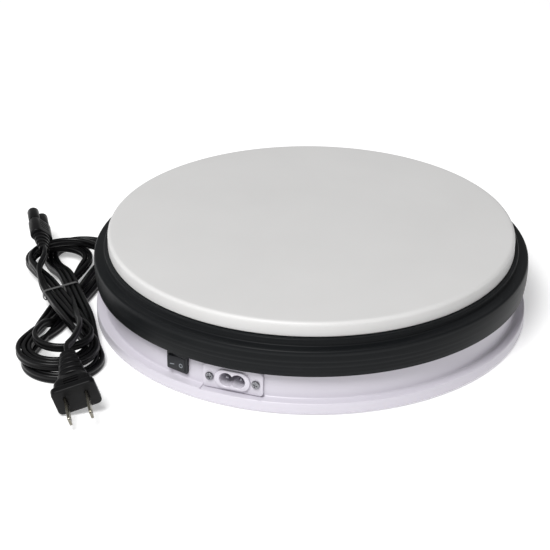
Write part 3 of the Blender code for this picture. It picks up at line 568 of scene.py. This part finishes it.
def hankTurns():
    # Figure-eight turns in three layers, whose upper lobes lie aside of the lower ones. Over the
    # waist the down runs lie side by side on the up runs. A column counts from the outside of
    # the far lobe.
    pitch, steps = lead["pitch"], lead["turnSteps"]
    columns = (0, 1, 2, 0, 2, 1, 0)
    layers = (1, 1, 1, 2, 0, 0, 0)
    downSlots = (-3, -1, 0, -2, 3, 2, 1)
    upSlots = (-2.5, -1.5, -0.5, 0.5, 2.5, 1.5)
    low = lead["width"] / 2
    waistHigh = low + lead["layer"] + lead["waistLift"]
    far, near = lead["farLobes"], lead["nearLobes"]
    lastTurn = len(downSlots) - 1
    points = []

    def blended(before, waist, after, share, reach=0.34):
        if share < 0.5:
            return before + (waist - before) * smoothStep(share / reach)
        return after + (waist - after) * smoothStep((1 - share) / reach)

    def run(turn, start, end, before, level, after, slot):
        normal = Vector((cos(turn), sin(turn)))
        aside = pitch * slot - normal.dot(start)
        for i in range(steps):
            share = i / steps
            spot = start.lerp(end, share) + normal * blended(0, aside, 0, share)
            points.append((spot.x, spot.y, blended(before, level, after, share)))

    def lobe(middle, radius, begin, end, height):
        for i in range(steps):
            angle = begin + (end - begin) * (i / steps)
            points.append((middle[0] + radius * cos(angle), middle[1] + radius * sin(angle), height))

    for turn in range(lastTurn + 1):
        level = layers[turn]
        height = low + lead["layer"] * level
        farRadius = lead["lobeRadius"] - pitch * columns[turn]
        nearRadius = lead["lobeRadius"] - pitch * (2 - columns[turn])
        down, start, end = innerTangent(far[level], near[level], farRadius, nearRadius, 1)
        run(down, start, end, height, waistHigh, height, downSlots[turn])
        if turn == lastTurn:
            break
        nextLevel = layers[turn + 1]
        nextHeight = low + lead["layer"] * nextLevel
        nextRadius = lead["lobeRadius"] - pitch * columns[turn + 1]
        up, start, end = innerTangent(near[level], far[nextLevel], nearRadius, nextRadius, -1)
        lobe(near[level], nearRadius, down, up - pi, height)
        run(up, start, end, height, low, nextHeight, upSlots[turn])
        nextNear = lead["lobeRadius"] - pitch * (2 - columns[turn + 1])
        nextDown = innerTangent(far[nextLevel], near[nextLevel], nextRadius, nextNear, 1)[0]
        lobe(far[nextLevel], nextRadius, up, nextDown + pi, nextHeight)
    return points


def throughPoints(knots, perSpan):
    knots = [Vector(knot) for knot in knots]
    padded = [2 * knots[0] - knots[1], *knots, 2 * knots[-1] - knots[-2]]
    points = []
    for a, b, c, d in zip(padded, padded[1:], padded[2:], padded[3:]):
        for i in range(perSpan):
            t = i / perSpan
            points.append(0.5 * (2 * b + (c - a) * t + (2 * a - 5 * b + 4 * c - d) * t**2
                                 + (3 * b - a - 3 * c + d) * t**3))
    return [*points, knots[-1]]


def leadRoute():
    hank = hankPlace()
    turns = [hank @ Vector(point) for point in hankTurns()]
    steps = lead["turnSteps"]
    atConnector = endPlace(connector)
    atPlug = endPlace(plug)
    first = [atConnector @ Vector((0, 0, -connector["reliefEnd"] + 6 * mm)),
             atConnector @ Vector((0, 0, -connector["reliefEnd"] - 5 * mm)),
             hank @ Vector((-17.8 * mm, 27.0 * mm, 16.4 * mm)),
             hank @ Vector((-16.4 * mm, 17.5 * mm, 12.4 * mm)),
             hank @ Vector((-13.8 * mm, 9.5 * mm, 9.6 * mm))]
    last = [hank @ Vector((9.4 * mm, -38 * mm, 15.4 * mm)),
            hank @ Vector((11.6 * mm, -52 * mm, 19.4 * mm)),
            hank @ Vector((11.2 * mm, -66 * mm, 21.6 * mm)),
            hank @ Vector((8.6 * mm, -80 * mm, 22.8 * mm)),
            atPlug @ Vector((0, 0, -plug["reliefEnd"] - 4 * mm)),
            atPlug @ Vector((0, 0, -plug["reliefEnd"] + 8 * mm))]
    joinAt = round(steps * lead["joinAt"])
    leaveAt = len(turns) - steps + round(steps * lead["leaveAt"])
    knots = [*first, *turns[joinAt:leaveAt], *last]
    return throughPoints(knots, 3)


def twinCordOutline():
    # two round cores side by side, with a groove between them
    half = lead["width"] / 2
    radius = lead["thick"] / 2
    centre = half - radius
    waist = radius - lead["groove"]
    upper = arc((0, centre), radius, -32, 212, 14)
    lower = arc((0, -centre), radius, 148, 392, 14)
    return [*upper, (-waist, 0), *lower, (waist, 0)]


def makeLead():
    route = leadRoute()
    outline = bpy.data.curves.new("twinCordOutline", "CURVE")
    outline.dimensions = "2D"
    ring = outline.splines.new("POLY")
    shape = twinCordOutline()
    ring.points.add(len(shape) - 1)
    for point, (x, y) in zip(ring.points, shape):
        point.co = (x, y, 0, 1)
    ring.use_cyclic_u = True
    outlineHolder = bpy.data.objects.new("twinCordOutline", outline)
    scene.collection.objects.link(outlineHolder)
    curve = bpy.data.curves.new("mainsLead", "CURVE")
    curve.dimensions = "3D"
    curve.twist_mode = "Z_UP"
    curve.bevel_mode = "OBJECT"
    curve.bevel_object = outlineHolder
    curve.use_fill_caps = True
    spline = curve.splines.new("POLY")
    spline.points.add(len(route) - 1)
    for point, spot in zip(spline.points, route):
        point.co = (*spot, 1)
    cable = bpy.data.objects.new("mainsLead", curve)
    scene.collection.objects.link(cable)
    makeActive(cable)
    bpy.ops.object.convert(target="MESH")
    cable = bpy.context.object
    bpy.data.objects.remove(outlineHolder)
    finishMesh(cable, 50)
    length = sum((b - a).length for a, b in zip(route, route[1:]))
    print("lead route", round(length, 4), "m in", len(route), "points")
    return cable, route, length


mainsLead, leadPath, leadLength = makeLead()
settle(mainsLead, finishes["cord_black"], "base", "cord_black",
       "cord_hank", "cord_lead_connector", "cord_lead_plug")


def cutGrooves(piece, levels, size, out):
    # across the two broad sides of a grip
    for side in (-1, 1):
        for level in levels:
            cutAway(piece, block("groove", size, (0, side * out, -level)))


def makeConnector():
    # the figure-eight nose and the grooved grip behind it
    c = connector
    piece = rod("applianceConnector", c["lobeR"], -c["nose"], 0, (-c["lobeX"], 0))
    addTo(piece, rod("lobe", c["lobeR"], -c["nose"], 0, (c["lobeX"], 0)))
    softenEdges(piece, 0.5 * mm, 3)
    grip = roundedBlock("grip", *c["gripSize"], -c["gripEnd"], -c["gripStart"], c["gripCorner"])
    softenEdges(grip, 1.1 * mm, 4, 60)
    cutGrooves(grip, c["grooves"], (7 * mm, 1.0 * mm, 1.3 * mm), 4.6 * mm)
    addTo(piece, grip)
    for side in (-1, 1):
        spot = (side * c["contactX"], 0)
        cutAway(piece, rod("contact", c["contactR"], -c["contactDepth"], 5 * mm, spot, 24))
    finishMesh(piece)
    return applyPlace(piece, endPlace(connector))


def makeRelief(name, end, ribs=5):
    # a ribbed sleeve that tapers along the cord, round first and then pressed to an oval
    start, length = -end["reliefStart"], end["reliefLength"]
    width, height = end["reliefSize"]
    profile = []
    for i in range(ribs):
        size = 1 - 0.42 * i / (ribs - 1)
        top = start - length * i / ribs
        profile += [(size * 0.96, top), (size, top - length * 0.02),
                    (size, top - length * 0.12), (size * 0.96, top - length * 0.14)]
        if i < ribs - 1:
            profile += [(size * 0.83, top - length * 0.15), (size * 0.81, top - length * 0.198)]
    profile.reverse()
    piece = turnedPiece(name, profile, 40, closed=False)
    bpy.ops.object.mode_set(mode="EDIT")
    bpy.ops.mesh.select_all(action="SELECT")
    bpy.ops.transform.resize(value=(width / 2, height / 2, 1), center_override=(0, 0, 0))
    bpy.ops.object.mode_set(mode="OBJECT")
    finishMesh(piece)
    return applyPlace(piece, endPlace(end))


def makePlug():
    # a flat flange, and a grip that tapers away behind it
    p = plug
    body = roundedBlock("mainsPlug", *p["size"], -p["thick"], 0, p["corner"], 6)
    softenEdges(body, 0.8 * mm, 3, 60)
    grip = roundedBlock("grip", *p["gripSize"], -p["gripEnd"], -p["gripStart"], p["gripCorner"], 6)
    chooseFaces(grip, lambda normal: normal.z < -0.9)
    for depth, wide, high in p["taper"]:
        extrudeChosen(-depth, wide, high)
    bpy.ops.object.mode_set(mode="OBJECT")
    softenEdges(grip, 0.8 * mm, 3, 25)
    addTo(body, grip)
    for side in (-1, 1):
        slot = roundedBlock("slot", *p["slotSize"], -p["slotDepth"], p["slotDepth"], 0.3 * mm, 2)
        cutAway(body, applyPlace(slot, Matrix.Translation((side * p["bladeX"], 0, 0))))
    cutGrooves(body, p["grooves"], (9 * mm, 1.0 * mm, 0.9 * mm), 7.9 * mm)
    finishMesh(body)
    return applyPlace(body, endPlace(plug))


def makeBlade(name, side):
    half = blade["thick"] / 2
    piece = roundedBlock(name, *blade["size"], -half, half, blade["corner"], 6)
    cutAway(piece, rod("hole", blade["holeR"], -5 * mm, 5 * mm, (0, blade["holeAt"]), 32))
    softenEdges(piece, 0.28 * mm, 2, 60)
    stand = Matrix.Rotation(pi / 2, 4, "Z") @ Matrix.Rotation(pi / 2, 4, "X")
    applyPlace(piece, Matrix.Translation((side * plug["bladeX"], 0, blade["middle"])) @ stand)
    finishMesh(piece)
    return applyPlace(piece, endPlace(plug))


connectorPiece = settle(makeConnector(), plugVinyl, "base", "cord_black", "cord_connector")
connectorRelief = settle(makeRelief("connectorRelief", connector), plugVinyl,
                         "base", "cord_black", "connector_relief")
plugPiece = settle(makePlug(), plugVinyl, "base", "cord_black", "plug_body")
plugRelief = settle(makeRelief("plugRelief", plug), plugVinyl, "base", "cord_black", "plug_relief")
for number, side in enumerate((-1, 1), 1):
    piece = makeBlade(f"plugBlade{number}", side)
    settle(piece, finishes["brass"], "base", "brass", f"plug_blade_{number}")

tie = {
    "middle": (-3.4 * mm, 8.6 * mm),  # in the hank's own frame
    "turn": 31,
    "half": 12.5 * mm,
    "top": 12.7 * mm,
    "bottom": 5.75 * mm,
    "corner": 2.4 * mm,
    "width": 1.6 * mm,
    "thick": 0.5 * mm,
}


def tieOutline(inset):
    half, low, high, corner = tie["half"], tie["bottom"], tie["top"], tie["corner"]
    outline = []
    for start, side, z in ((0, 1, high), (90, -1, high), (180, -1, low), (270, 1, low)):
        centre = (side * (half - corner), z - corner if z == high else z + corner)
        outline += arc(centre, corner - inset, start, start + 90, 8)
    return outline


def makeTie():
    # a flat strap round the down runs
    strap = flatPlate("cordTie", tieOutline(0), -tie["width"] / 2, tie["width"] / 2)
    cutAway(strap, flatPlate("inside", tieOutline(tie["thick"]), -tie["width"], tie["width"]))
    softenEdges(strap, 0.12 * mm, 2, 60)
    finishMesh(strap)
    place = Matrix.Translation((*tie["middle"], 0)) @ Matrix.Rotation(radians(tie["turn"]), 4, "Z")
    return applyPlace(strap, hankPlace() @ place @ Matrix.Rotation(pi / 2, 4, "X"))


cordTie = settle(makeTie(), tieVinylWithPaintedHighlight, "base", "cord_black", "twist_tie")
print("mains lead ready")


# Base housing: wall, flange, deck and what is under it

base = {
    "flangeR": 133.2 * mm,
    "flangeBottom": 1.5 * mm,
    "flangeTop": 8.1 * mm,
    "flangeRound": 0.9 * mm,
    "hemRound": 0.4 * mm,
    "cove": 1.2 * mm,  # where the wall meets the flange
    "wallR": 127.2 * mm,
    "wallTopR": 126.5 * mm,
    "wallTopRound": 3.5 * mm,
    "wallInnerR": 124.6 * mm,
    "deckUnder": 33.6 * mm,
    "deckTop": 36.0 * mm,
    "spindleHoleR": 4.3 * mm,
    "bossR": 112.0 * mm,  # circle that the screw bosses and the feet stand on
    "bossAngles": (45, 135, 225, 315),
    "bossSize": 4.5 * mm,
    "bossBottom": 4.6 * mm,
    "boreR": 1.6 * mm,
    "footAngles": (20, 110, 200, 290),
    "trackR": 100.0 * mm,
    "rollerAngles": (30, 150, 270),
    "rollerZ": 36.9 * mm,
    "cheek": (4 * mm, 9 * mm, 9.4 * mm),
    "cheekX": 5.5 * mm,
    "cheekZ": 35.5 * mm,
    "pocket": (7 * mm, 17 * mm, 20 * mm),
    "axleBoreR": 1.8 * mm,
    "motorY": 57.0 * mm,
    "shaftHoleR": 4.5 * mm,
    "motorScrewX": 29.5 * mm,
    "motorScrewR": 1.9 * mm,
    "backing": (44 * mm, 3 * mm, 25 * mm),  # wall behind the inlet
    "backingAt": (0, -123.4 * mm, 21.5 * mm),
    "inletWindow": (23 * mm, 12 * mm, 13.6 * mm),
    "inletWindowY": -123 * mm,
    "switchWindow": (14.2 * mm, 12 * mm, 10 * mm),
}


def addRollerSeat(shell, angle):
    # two cheeks with a pocket between them, and the axle's bore through both
    b = base
    turn = Matrix.Rotation(radians(angle), 4, "Z")
    for side in (-1, 1):
        cheek = block("cheek", b["cheek"], (b["trackR"] + side * b["cheekX"], 0, b["cheekZ"]))
        addTo(shell, applyPlace(cheek, turn))
    cutAway(shell, applyPlace(block("pocket", b["pocket"], (b["trackR"], 0, b["deckTop"])), turn))
    lie = Matrix.Translation((b["trackR"], 0, b["rollerZ"])) @ Matrix.Rotation(pi / 2, 4, "Y")
    bore = rod("bore", b["axleBoreR"], -20 * mm, 20 * mm, (0, 0), 24)
    cutAway(shell, applyPlace(bore, turn @ lie))


def cutFrontOpenings(shell):
    b, n = base, inlet
    addTo(shell, block("backing", b["backing"], b["backingAt"]))
    flat = block("flat", (n["width"] + 1.4 * mm, 6 * mm, n["height"] + mm),
                 (0, n["flatY"] - 3 * mm, n["z"]))
    window = block("window", b["inletWindow"], (0, b["inletWindowY"], n["z"]))
    cutAway(shell, flat, window)
    for side in (-1, 1):
        hole = rod("hole", n["screwHoleR"], -12 * mm, 12 * mm, (0, 0), 24)
        spot = Matrix.Translation((side * n["screwX"], -125 * mm, n["z"]))
        cutAway(shell, applyPlace(hole, spot @ Matrix.Rotation(pi / 2, 4, "X")))
    opening = block("opening", b["switchWindow"], (0, -b["wallR"], switch["z"]))
    cutAway(shell, applyPlace(opening, Matrix.Rotation(radians(switch["angle"]), 4, "Z")))


def makeBase():
    b = base
    top, cove, edge, hem = b["wallTopRound"], b["cove"], b["flangeRound"], b["hemRound"]
    profile = [
        (b["spindleHoleR"], b["deckTop"]),
        *arc((b["wallTopR"] - top, b["deckTop"] - top), top, 90, 2, 8),
        (b["wallR"], b["flangeTop"] + 1.4 * mm),
        *arc((b["wallR"] + cove, b["flangeTop"] + cove), cove, 190, 262, 5),
        *arc((b["flangeR"] - edge, b["flangeTop"] - edge), edge, 90, 0, 5),
        *arc((b["flangeR"] - hem, b["flangeBottom"] + hem), hem, 0, -90, 3),
        (b["wallInnerR"], b["flangeBottom"]),
        (b["wallInnerR"] - 0.4 * mm, b["deckUnder"]),
        (b["spindleHoleR"], b["deckUnder"]),
    ]
    shell = turnedPiece("baseShell", profile, 288)
    for angle in b["bossAngles"]:
        spot = polar(b["bossR"], angle)
        addTo(shell, rod("boss", b["bossSize"], b["bossBottom"], b["deckUnder"] + mm, spot, 32))
        cutAway(shell, rod("bore", b["boreR"], 0, 15 * mm, spot, 24))
    for angle in b["rollerAngles"]:
        addRollerSeat(shell, angle)
    cutAway(shell, rod("shaftHole", b["shaftHoleR"], 30 * mm, 40 * mm, (0, b["motorY"]), 32))
    for side in (-1, 1):
        spot = (side * b["motorScrewX"], b["motorY"])
        cutAway(shell, rod("screwHole", b["motorScrewR"], 30 * mm, 40 * mm, spot, 24))
    cutFrontOpenings(shell)
    return finishMesh(shell)


inlet = {
    "z": 15.6 * mm,
    "flatY": -125.8 * mm,
    "gap": 0.3 * mm,  # between the housing's flat and the flange
    "width": 37.0 * mm,
    "height": 15.0 * mm,
    "plate": 1.6 * mm,
    "corner": 2.2 * mm,
    "surround": 1.4 * mm,
    "surroundSize": (22 * mm, 12 * mm),
    "sunk": 0.8 * mm,  # how far the surround and the back reach into the plate
    "backSize": (21 * mm, 12.6 * mm),
    "backDepth": 18 * mm,
    "screwX": 14.3 * mm,
    "screwHoleR": 1.7 * mm,
    "lobeX": 3.6 * mm,
    "lobeR": 4.3 * mm,
    "depth": 12.5 * mm,
    "pinX": 4.3 * mm,
    "pinR": 1.2 * mm,
    "pinLength": 22 * mm,
    "pinIn": 1.5 * mm,  # behind the flange's front
}
switch = {
    "angle": -16.45,
    "z": 17.5 * mm,
    "gap": 0.3 * mm,  # between the wall and the bezel
    "width": 15.2 * mm,
    "height": 11.4 * mm,
    "depth": 1.6 * mm,
    "caseSize": (13.6 * mm, 9.4 * mm),
    "caseDepth": 11 * mm,
    "well": (12.8 * mm, 8.4 * mm, 11.2 * mm),
    "socketR": 0.8 * mm,
    "trunnionR": 0.5 * mm,
    "rockerR": 6.1 * mm,
    "rockerHeight": 8.0 * mm,
    "horn": 21.3,  # degrees that the drum goes on past its half turn
    "valley": 1.3 * mm,
    "tilt": 10,
    "pivotIn": 1.0 * mm,
}
marks = {
    "along": 2.9 * mm,  # from the middle of the rocker
    "drop": 1.1 * mm,
    "thick": 0.09 * mm,
    "ringR": 1.35 * mm,
    "ringHoleR": 0.85 * mm,
    "dash": (2.7 * mm, 0.55 * mm),
}


def inletFront():
    return inlet["flatY"] - inlet["gap"] - inlet["plate"]


settle(makeBase(), finishes["white_plastic"], "base", "white_plastic", "base_housing")
print("base housing ready")


def makeBottomPlate():
    edge = 0.4 * mm
    radius, low, high = 124.3 * mm, 2.3 * mm, 4.3 * mm
    profile = [(radius - edge, low), (radius, low + edge), (radius, high - edge), (radius - edge, high)]
    plate = turnedPiece("bottomPlate", profile, 256, closed=False)
    for angle in base["bossAngles"]:
        cutAway(plate, rod("hole", base["boreR"], 0, 10 * mm, polar(base["bossR"], angle), 24))
    return finishMesh(plate)


settle(makeBottomPlate(), finishes["white_plastic"], "base", "white_plastic", "bottom_plate")


def makeFoot():
    profile = [*arc((6.9 * mm, 0.5 * mm), 0.5 * mm, -90, 0, 4), (8.0 * mm, 0.8 * mm),
               (7.6 * mm, 1.6 * mm), (7.2 * mm, 2.0 * mm)]
    return finishMesh(turnedPiece("footPad", profile, 64, closed=False))


screws = {  # shank radius, shank length, head radius, head height
    "caseScrew": (1.25 * mm, 10 * mm, 3 * mm, 1.3 * mm),
    "flangeScrew": (1.3 * mm, 7 * mm, 2.6 * mm, 1.2 * mm),
}


def makeScrew(name):
    # a pan head with a cross recess, its seat at the origin and its shank down
    shankR, shank, headR, head = screws[name]
    profile = [(shankR * 0.3, -shank - shankR * 0.7), (shankR, -shank), (shankR, -0.02 * mm),
               (headR * 0.98, 0), (headR, head * 0.12), (headR * 0.97, head * 0.5),
               (headR * 0.86, head * 0.8), (headR * 0.62, head * 0.95), (headR * 0.3, head)]
    screw = turnedPiece(name, profile, 48, closed=False)
    for turn in (0, 90):
        slot = block("slot", (headR * 1.15, headR * 0.24, head * 1.1), (0, 0, head * 0.95))
        cutAway(screw, applyPlace(slot, Matrix.Rotation(radians(turn), 4, "Z")))
    return finishMesh(screw)


def settleCopies(pattern, name, places, slotName, node):
    for number, place in enumerate(places, 1):
        twin = applyPlace(copied(pattern, f"{name}{number}"), place)
        settle(twin, finishes[slotName], "base", slotName, f"{node}_{number}")
    bpy.data.objects.remove(pattern)


def makeFeetAndScrews():
    ring = base["bossR"]
    spots = [Matrix.Translation((*polar(ring, angle), 0)) for angle in base["footAngles"]]
    settleCopies(makeFoot(), "footPad", spots, "rubber", "foot_pad")
    over = Matrix.Rotation(pi, 4, "X")
    spots = [Matrix.Translation((*polar(ring, angle), 2.0 * mm)) @ over for angle in base["bossAngles"]]
    settleCopies(makeScrew("caseScrew"), "bottomScrew", spots, "steel", "bottom_screw")
    spots = []
    for side in (-1, 1):
        spot = Matrix.Translation((side * inlet["screwX"], inletFront() - 0.3 * mm, inlet["z"]))
        turn = Matrix.Rotation(radians(20 * side), 4, "Y")
        spots.append(spot @ turn @ Matrix.Rotation(pi / 2, 4, "X"))
    settleCopies(makeScrew("flangeScrew"), "inletScrew", spots, "steel", "inlet_screw")


makeFeetAndScrews()
print("feet and screws ready")


# Mains inlet

def figureEight(name, lobeX, lobeR, bottom, top, flare):
    # two joined circles, whose mouth widens over the last stretch
    meet = 180 - atan2(sqrt(lobeR**2 - lobeX**2), lobeX) * 180 / pi
    right = arc((lobeX, 0), lobeR, -meet, meet, 40)
    left = arc((-lobeX, 0), lobeR, 180 - meet, 180 + meet, 40)
    piece = flatPlate(name, right + left[1:-1], bottom, top)
    chooseFaces(piece, lambda normal: normal.z > 0.9)
    for rise, wide in ((flare, flare), (2 * mm, 0)):
        extrudeChosen(rise, 1 + wide / (lobeX + lobeR), 1 + wide / lobeR)
    bpy.ops.object.mode_set(mode="OBJECT")
    return piece


def makeInlet():
    n = inlet
    flange = roundedBlock("inletFlange", n["width"], n["height"], -n["plate"], 0, n["corner"])
    softenEdges(flange, 0.35 * mm, 3, 60)
    surround = roundedBlock("surround", *n["surroundSize"], -n["sunk"], n["surround"], 5.95 * mm, 12)
    softenEdges(surround, 0.45 * mm, 3, 60)
    back = roundedBlock("back", *n["backSize"], -n["backDepth"], -n["sunk"], 1.5 * mm, 3)
    addTo(flange, surround, back)
    cutAway(flange, figureEight("recess", n["lobeX"], n["lobeR"], n["surround"] - n["depth"],
                                n["surround"] - 0.35 * mm, 0.5 * mm))
    for side in (-1, 1):
        cutAway(flange, rod("hole", n["screwHoleR"], -5 * mm, 5 * mm, (side * n["screwX"], 0), 32))
        cutAway(flange, rod("pinHole", n["pinR"] + 0.3 * mm, -30 * mm, 0, (side * n["pinX"], 0), 24))
    finishMesh(flange)
    return applyPlace(flange, Matrix.Translation((0, 0, n["z"])) @ facingFront(inletFront()))


def makePins():
    n = inlet
    r, length = n["pinR"], n["pinLength"]
    profile = [(r * 0.6, -length), (r, -length + 0.3 * mm), (r, -r),
               (r * 0.86, -r * 0.4), (r * 0.5, -0.05 * mm)]
    for number, side in enumerate((-1, 1), 1):
        pin = finishMesh(turnedPiece(f"inletPin{number}", profile, 32, closed=False))
        stand = facingFront(inletFront() + n["pinIn"])
        applyPlace(pin, Matrix.Translation((side * n["pinX"], 0, n["z"])) @ stand)
        settle(pin, finishes["steel"], "base", "steel", f"inlet_pin_{number}")


settle(makeInlet(), finishes["white_plastic"], "base", "white_plastic", "inlet_body")
makePins()
print("inlet ready")


# Rocker switch

def switchPlace():
    out = base["wallR"] + switch["gap"]
    turn = Matrix.Rotation(radians(switch["angle"]), 4, "Z")
    return turn @ Matrix.Translation((0, 0, switch["z"])) @ facingFront(-out)


def makeSwitchBody():
    s = switch
    body = roundedBlock("switchBezel", s["width"], s["height"], 0, s["depth"], 0.9 * mm, 4)
    softenEdges(body, 0.4 * mm, 3, 60)
    addTo(body, roundedBlock("case", *s["caseSize"], -s["caseDepth"], 0.5 * mm, 0.5 * mm, 2))
    cutAway(body, block("well", s["well"], (0, 0, s["depth"])))
    socket = rod("socket", s["socketR"], -4.6 * mm, 4.6 * mm, (0, 0), 24)
    lie = Matrix.Translation((0, 0, s["depth"] - s["pivotIn"])) @ Matrix.Rotation(pi / 2, 4, "X")
    cutAway(body, applyPlace(socket, lie))
    finishMesh(body)
    return applyPlace(body, switchPlace())


def rockerPlace():
    out = base["wallR"] + switch["gap"] + switch["depth"] - switch["pivotIn"]
    spot = Matrix.Rotation(radians(switch["angle"]), 4, "Z") @ Vector((0, -out, switch["z"]))
    turn = radians(switch["angle"]) + pi + radians(switch["tilt"])
    return Matrix.Translation(spot) @ Matrix.Rotation(turn, 4, "Z")


def makeRocker():
    # a drum about its pivot with a shallow V across the front
    s = switch
    low = -3.0 * mm
    drum = arc((0, 0), s["rockerR"], 180 - s["horn"], 360 + s["horn"], 40)
    outline = [(x, max(y, low)) for x, y in drum]
    outline = [p for i, p in enumerate(outline) if i == 0 or p != outline[i - 1]]
    outline.append((0, s["valley"]))
    half = s["rockerHeight"] / 2
    rocker = flatPlate("switchRocker", outline, -half, half)
    softenEdges(rocker, 0.25 * mm, 3, 60)
    addTo(rocker, rod("trunnion", s["trunnionR"], -4.4 * mm, 4.4 * mm, (0, 0), 24))
    finishMesh(rocker)
    return applyPlace(rocker, rockerPlace())


def makeMarks():
    # a dash and a ring, raised a hair from the rocker's two faces
    s = switch
    reach = s["rockerR"] * cos(radians(s["horn"]))
    rise = s["rockerR"] * sin(radians(s["horn"])) - s["valley"]
    slope = atan2(rise, reach)
    along, thick = marks["along"], marks["thick"]
    ring = rod("markRing", marks["ringR"], -thick, thick, (0, 0), 48)
    cutAway(ring, rod("inside", marks["ringHoleR"], -mm, mm, (0, 0), 48))
    dash = roundedBlock("markDash", *marks["dash"], -thick, thick, 0.2 * mm, 3)
    for mark, side in ((ring, -1), (dash, 1)):
        finishMesh(mark)
        y = s["valley"] + along * rise / reach
        onFace = Matrix.Translation((side * along, y, 0)) @ Matrix.Rotation(side * slope, 4, "Z")
        stand = Matrix.Rotation(-pi / 2, 4, "X")
        lower = Matrix.Translation((0, 0, -marks["drop"]))
        applyPlace(mark, lower @ rockerPlace() @ onFace @ stand)
        settle(mark, markPaint, "rocker", "switch_black")


settle(makeSwitchBody(), finishes["switch_black"], "base", "switch_black", "switch_body")
settle(makeRocker(), finishes["switch_black"], "rocker", "switch_black", "switch_rocker")
makeMarks()
print("switch ready")


# Turning tray and disc

tray = {
    "lipR": 127.5 * mm,
    "deckTop": 46.7 * mm,
    "deckUnder": 44.2 * mm,
    "ledge": 42.3 * mm,
    "skirtR": 133.8 * mm,
    "skirtLowR": 132.7 * mm,
    "skirtInR": 130.5 * mm,
    "skirtBottom": 25.3 * mm,
    "wall": 2.2 * mm,
    "hubR": 11.0 * mm,
    "hubBottom": 38.9 * mm,
    "bushR": 6.3 * mm,
    "gearScrewR": 30 * mm,
    "holeR": 1.6 * mm,
}
disc = {
    "radius": 125.0 * mm,
    "top": 56.0 * mm,
    "bottom": 47.0 * mm,
    "edge": 2.3 * mm,
    "wall": 3.0 * mm,
    "screwR": 82.0 * mm,
    "screwAngles": (90, 210, 330),
    "postR": 4 * mm,
    "boreR": 1.6 * mm,
}


def makeTray():
    t = tray
    top, ledge, r = t["deckTop"], t["ledge"], t["skirtR"]
    profile = [
        (t["bushR"], top),
        *arc((t["lipR"] - 0.7 * mm, top - 0.7 * mm), 0.7 * mm, 90, 0, 5),
        (t["lipR"], ledge + 0.9 * mm),
        *arc((t["lipR"] + 0.8 * mm, ledge + 0.8 * mm), 0.8 * mm, 190, 262, 4),
        (r - 2.6 * mm, ledge - 0.05 * mm),
        *arc((r - 1.6 * mm, ledge - 1.5 * mm), 1.45 * mm, 88, 12, 7),
        (r - 0.05 * mm, ledge - 4.0 * mm),
        (r, ledge - 6.0 * mm),
        (r - 0.15 * mm, ledge - 9.0 * mm),
        (r - 0.4 * mm, ledge - 12.0 * mm),
        *arc((t["skirtLowR"] - 0.5 * mm, t["skirtBottom"] + 0.5 * mm), 0.5 * mm, 0, -90, 4),
        (t["skirtInR"], t["skirtBottom"]),
        (t["skirtInR"], ledge - t["wall"] - 0.5 * mm),
        (t["skirtInR"] - 0.5 * mm, ledge - t["wall"]),
        (t["lipR"] - t["wall"], ledge - t["wall"]),
        (t["lipR"] - t["wall"], t["deckUnder"]),
        (t["hubR"], t["deckUnder"]),
        (t["hubR"], t["hubBottom"]),
        (t["bushR"], t["hubBottom"]),
    ]
    skirt = turnedPiece("skirtTray", profile, 288)
    spots = [polar(t["gearScrewR"], 45 + 90 * number) for number in range(4)]
    spots += [polar(disc["screwR"], angle) for angle in disc["screwAngles"]]
    for spot in spots:
        cutAway(skirt, rod("hole", t["holeR"], 40 * mm, 50 * mm, spot, 24))
    return finishMesh(skirt)


def makeDisc():
    d = disc
    radius, edge = d["radius"], d["edge"]
    innerR = radius - d["wall"]
    profile = [
        (radius - 14 * mm, d["top"]),
        (radius - 2 * edge, d["top"]),
        *arc((radius - edge, d["top"] - edge), edge, 90, 0, 12),
        *arc((radius - 0.5 * mm, d["bottom"] + 0.5 * mm), 0.5 * mm, 0, -90, 4),
        (innerR, d["bottom"]),
        (innerR, d["top"] - d["wall"] - 0.6 * mm),
        (innerR - 0.6 * mm, d["top"] - d["wall"]),
    ]
    piece = turnedPiece("turningDisc", profile, 288, closed=False)
    for angle in d["screwAngles"]:
        spot = polar(d["screwR"], angle)
        addTo(piece, rod("post", d["postR"], d["bottom"], d["top"] - 2.5 * mm, spot, 32))
        cutAway(piece, rod("bore", d["boreR"], 40 * mm, d["top"] - 3.5 * mm, spot, 24))
    return finishMesh(piece)


settle(makeTray(), finishes["black_plastic"], "turntable", "black_plastic", "tray")
settle(makeDisc(), finishes["disc_white"], "turntable", "disc_white", "platter")
print("tray and disc ready")


# The rest of the CAD nodes keep their shapes and take their slot's finish

for part in frame["record"]["subparts"]:
    node = frame["nodes"][part["node"]]
    for index in range(len(node.material_slots)):
        node.material_slots[index].material = finishes[part["material_slot"]]
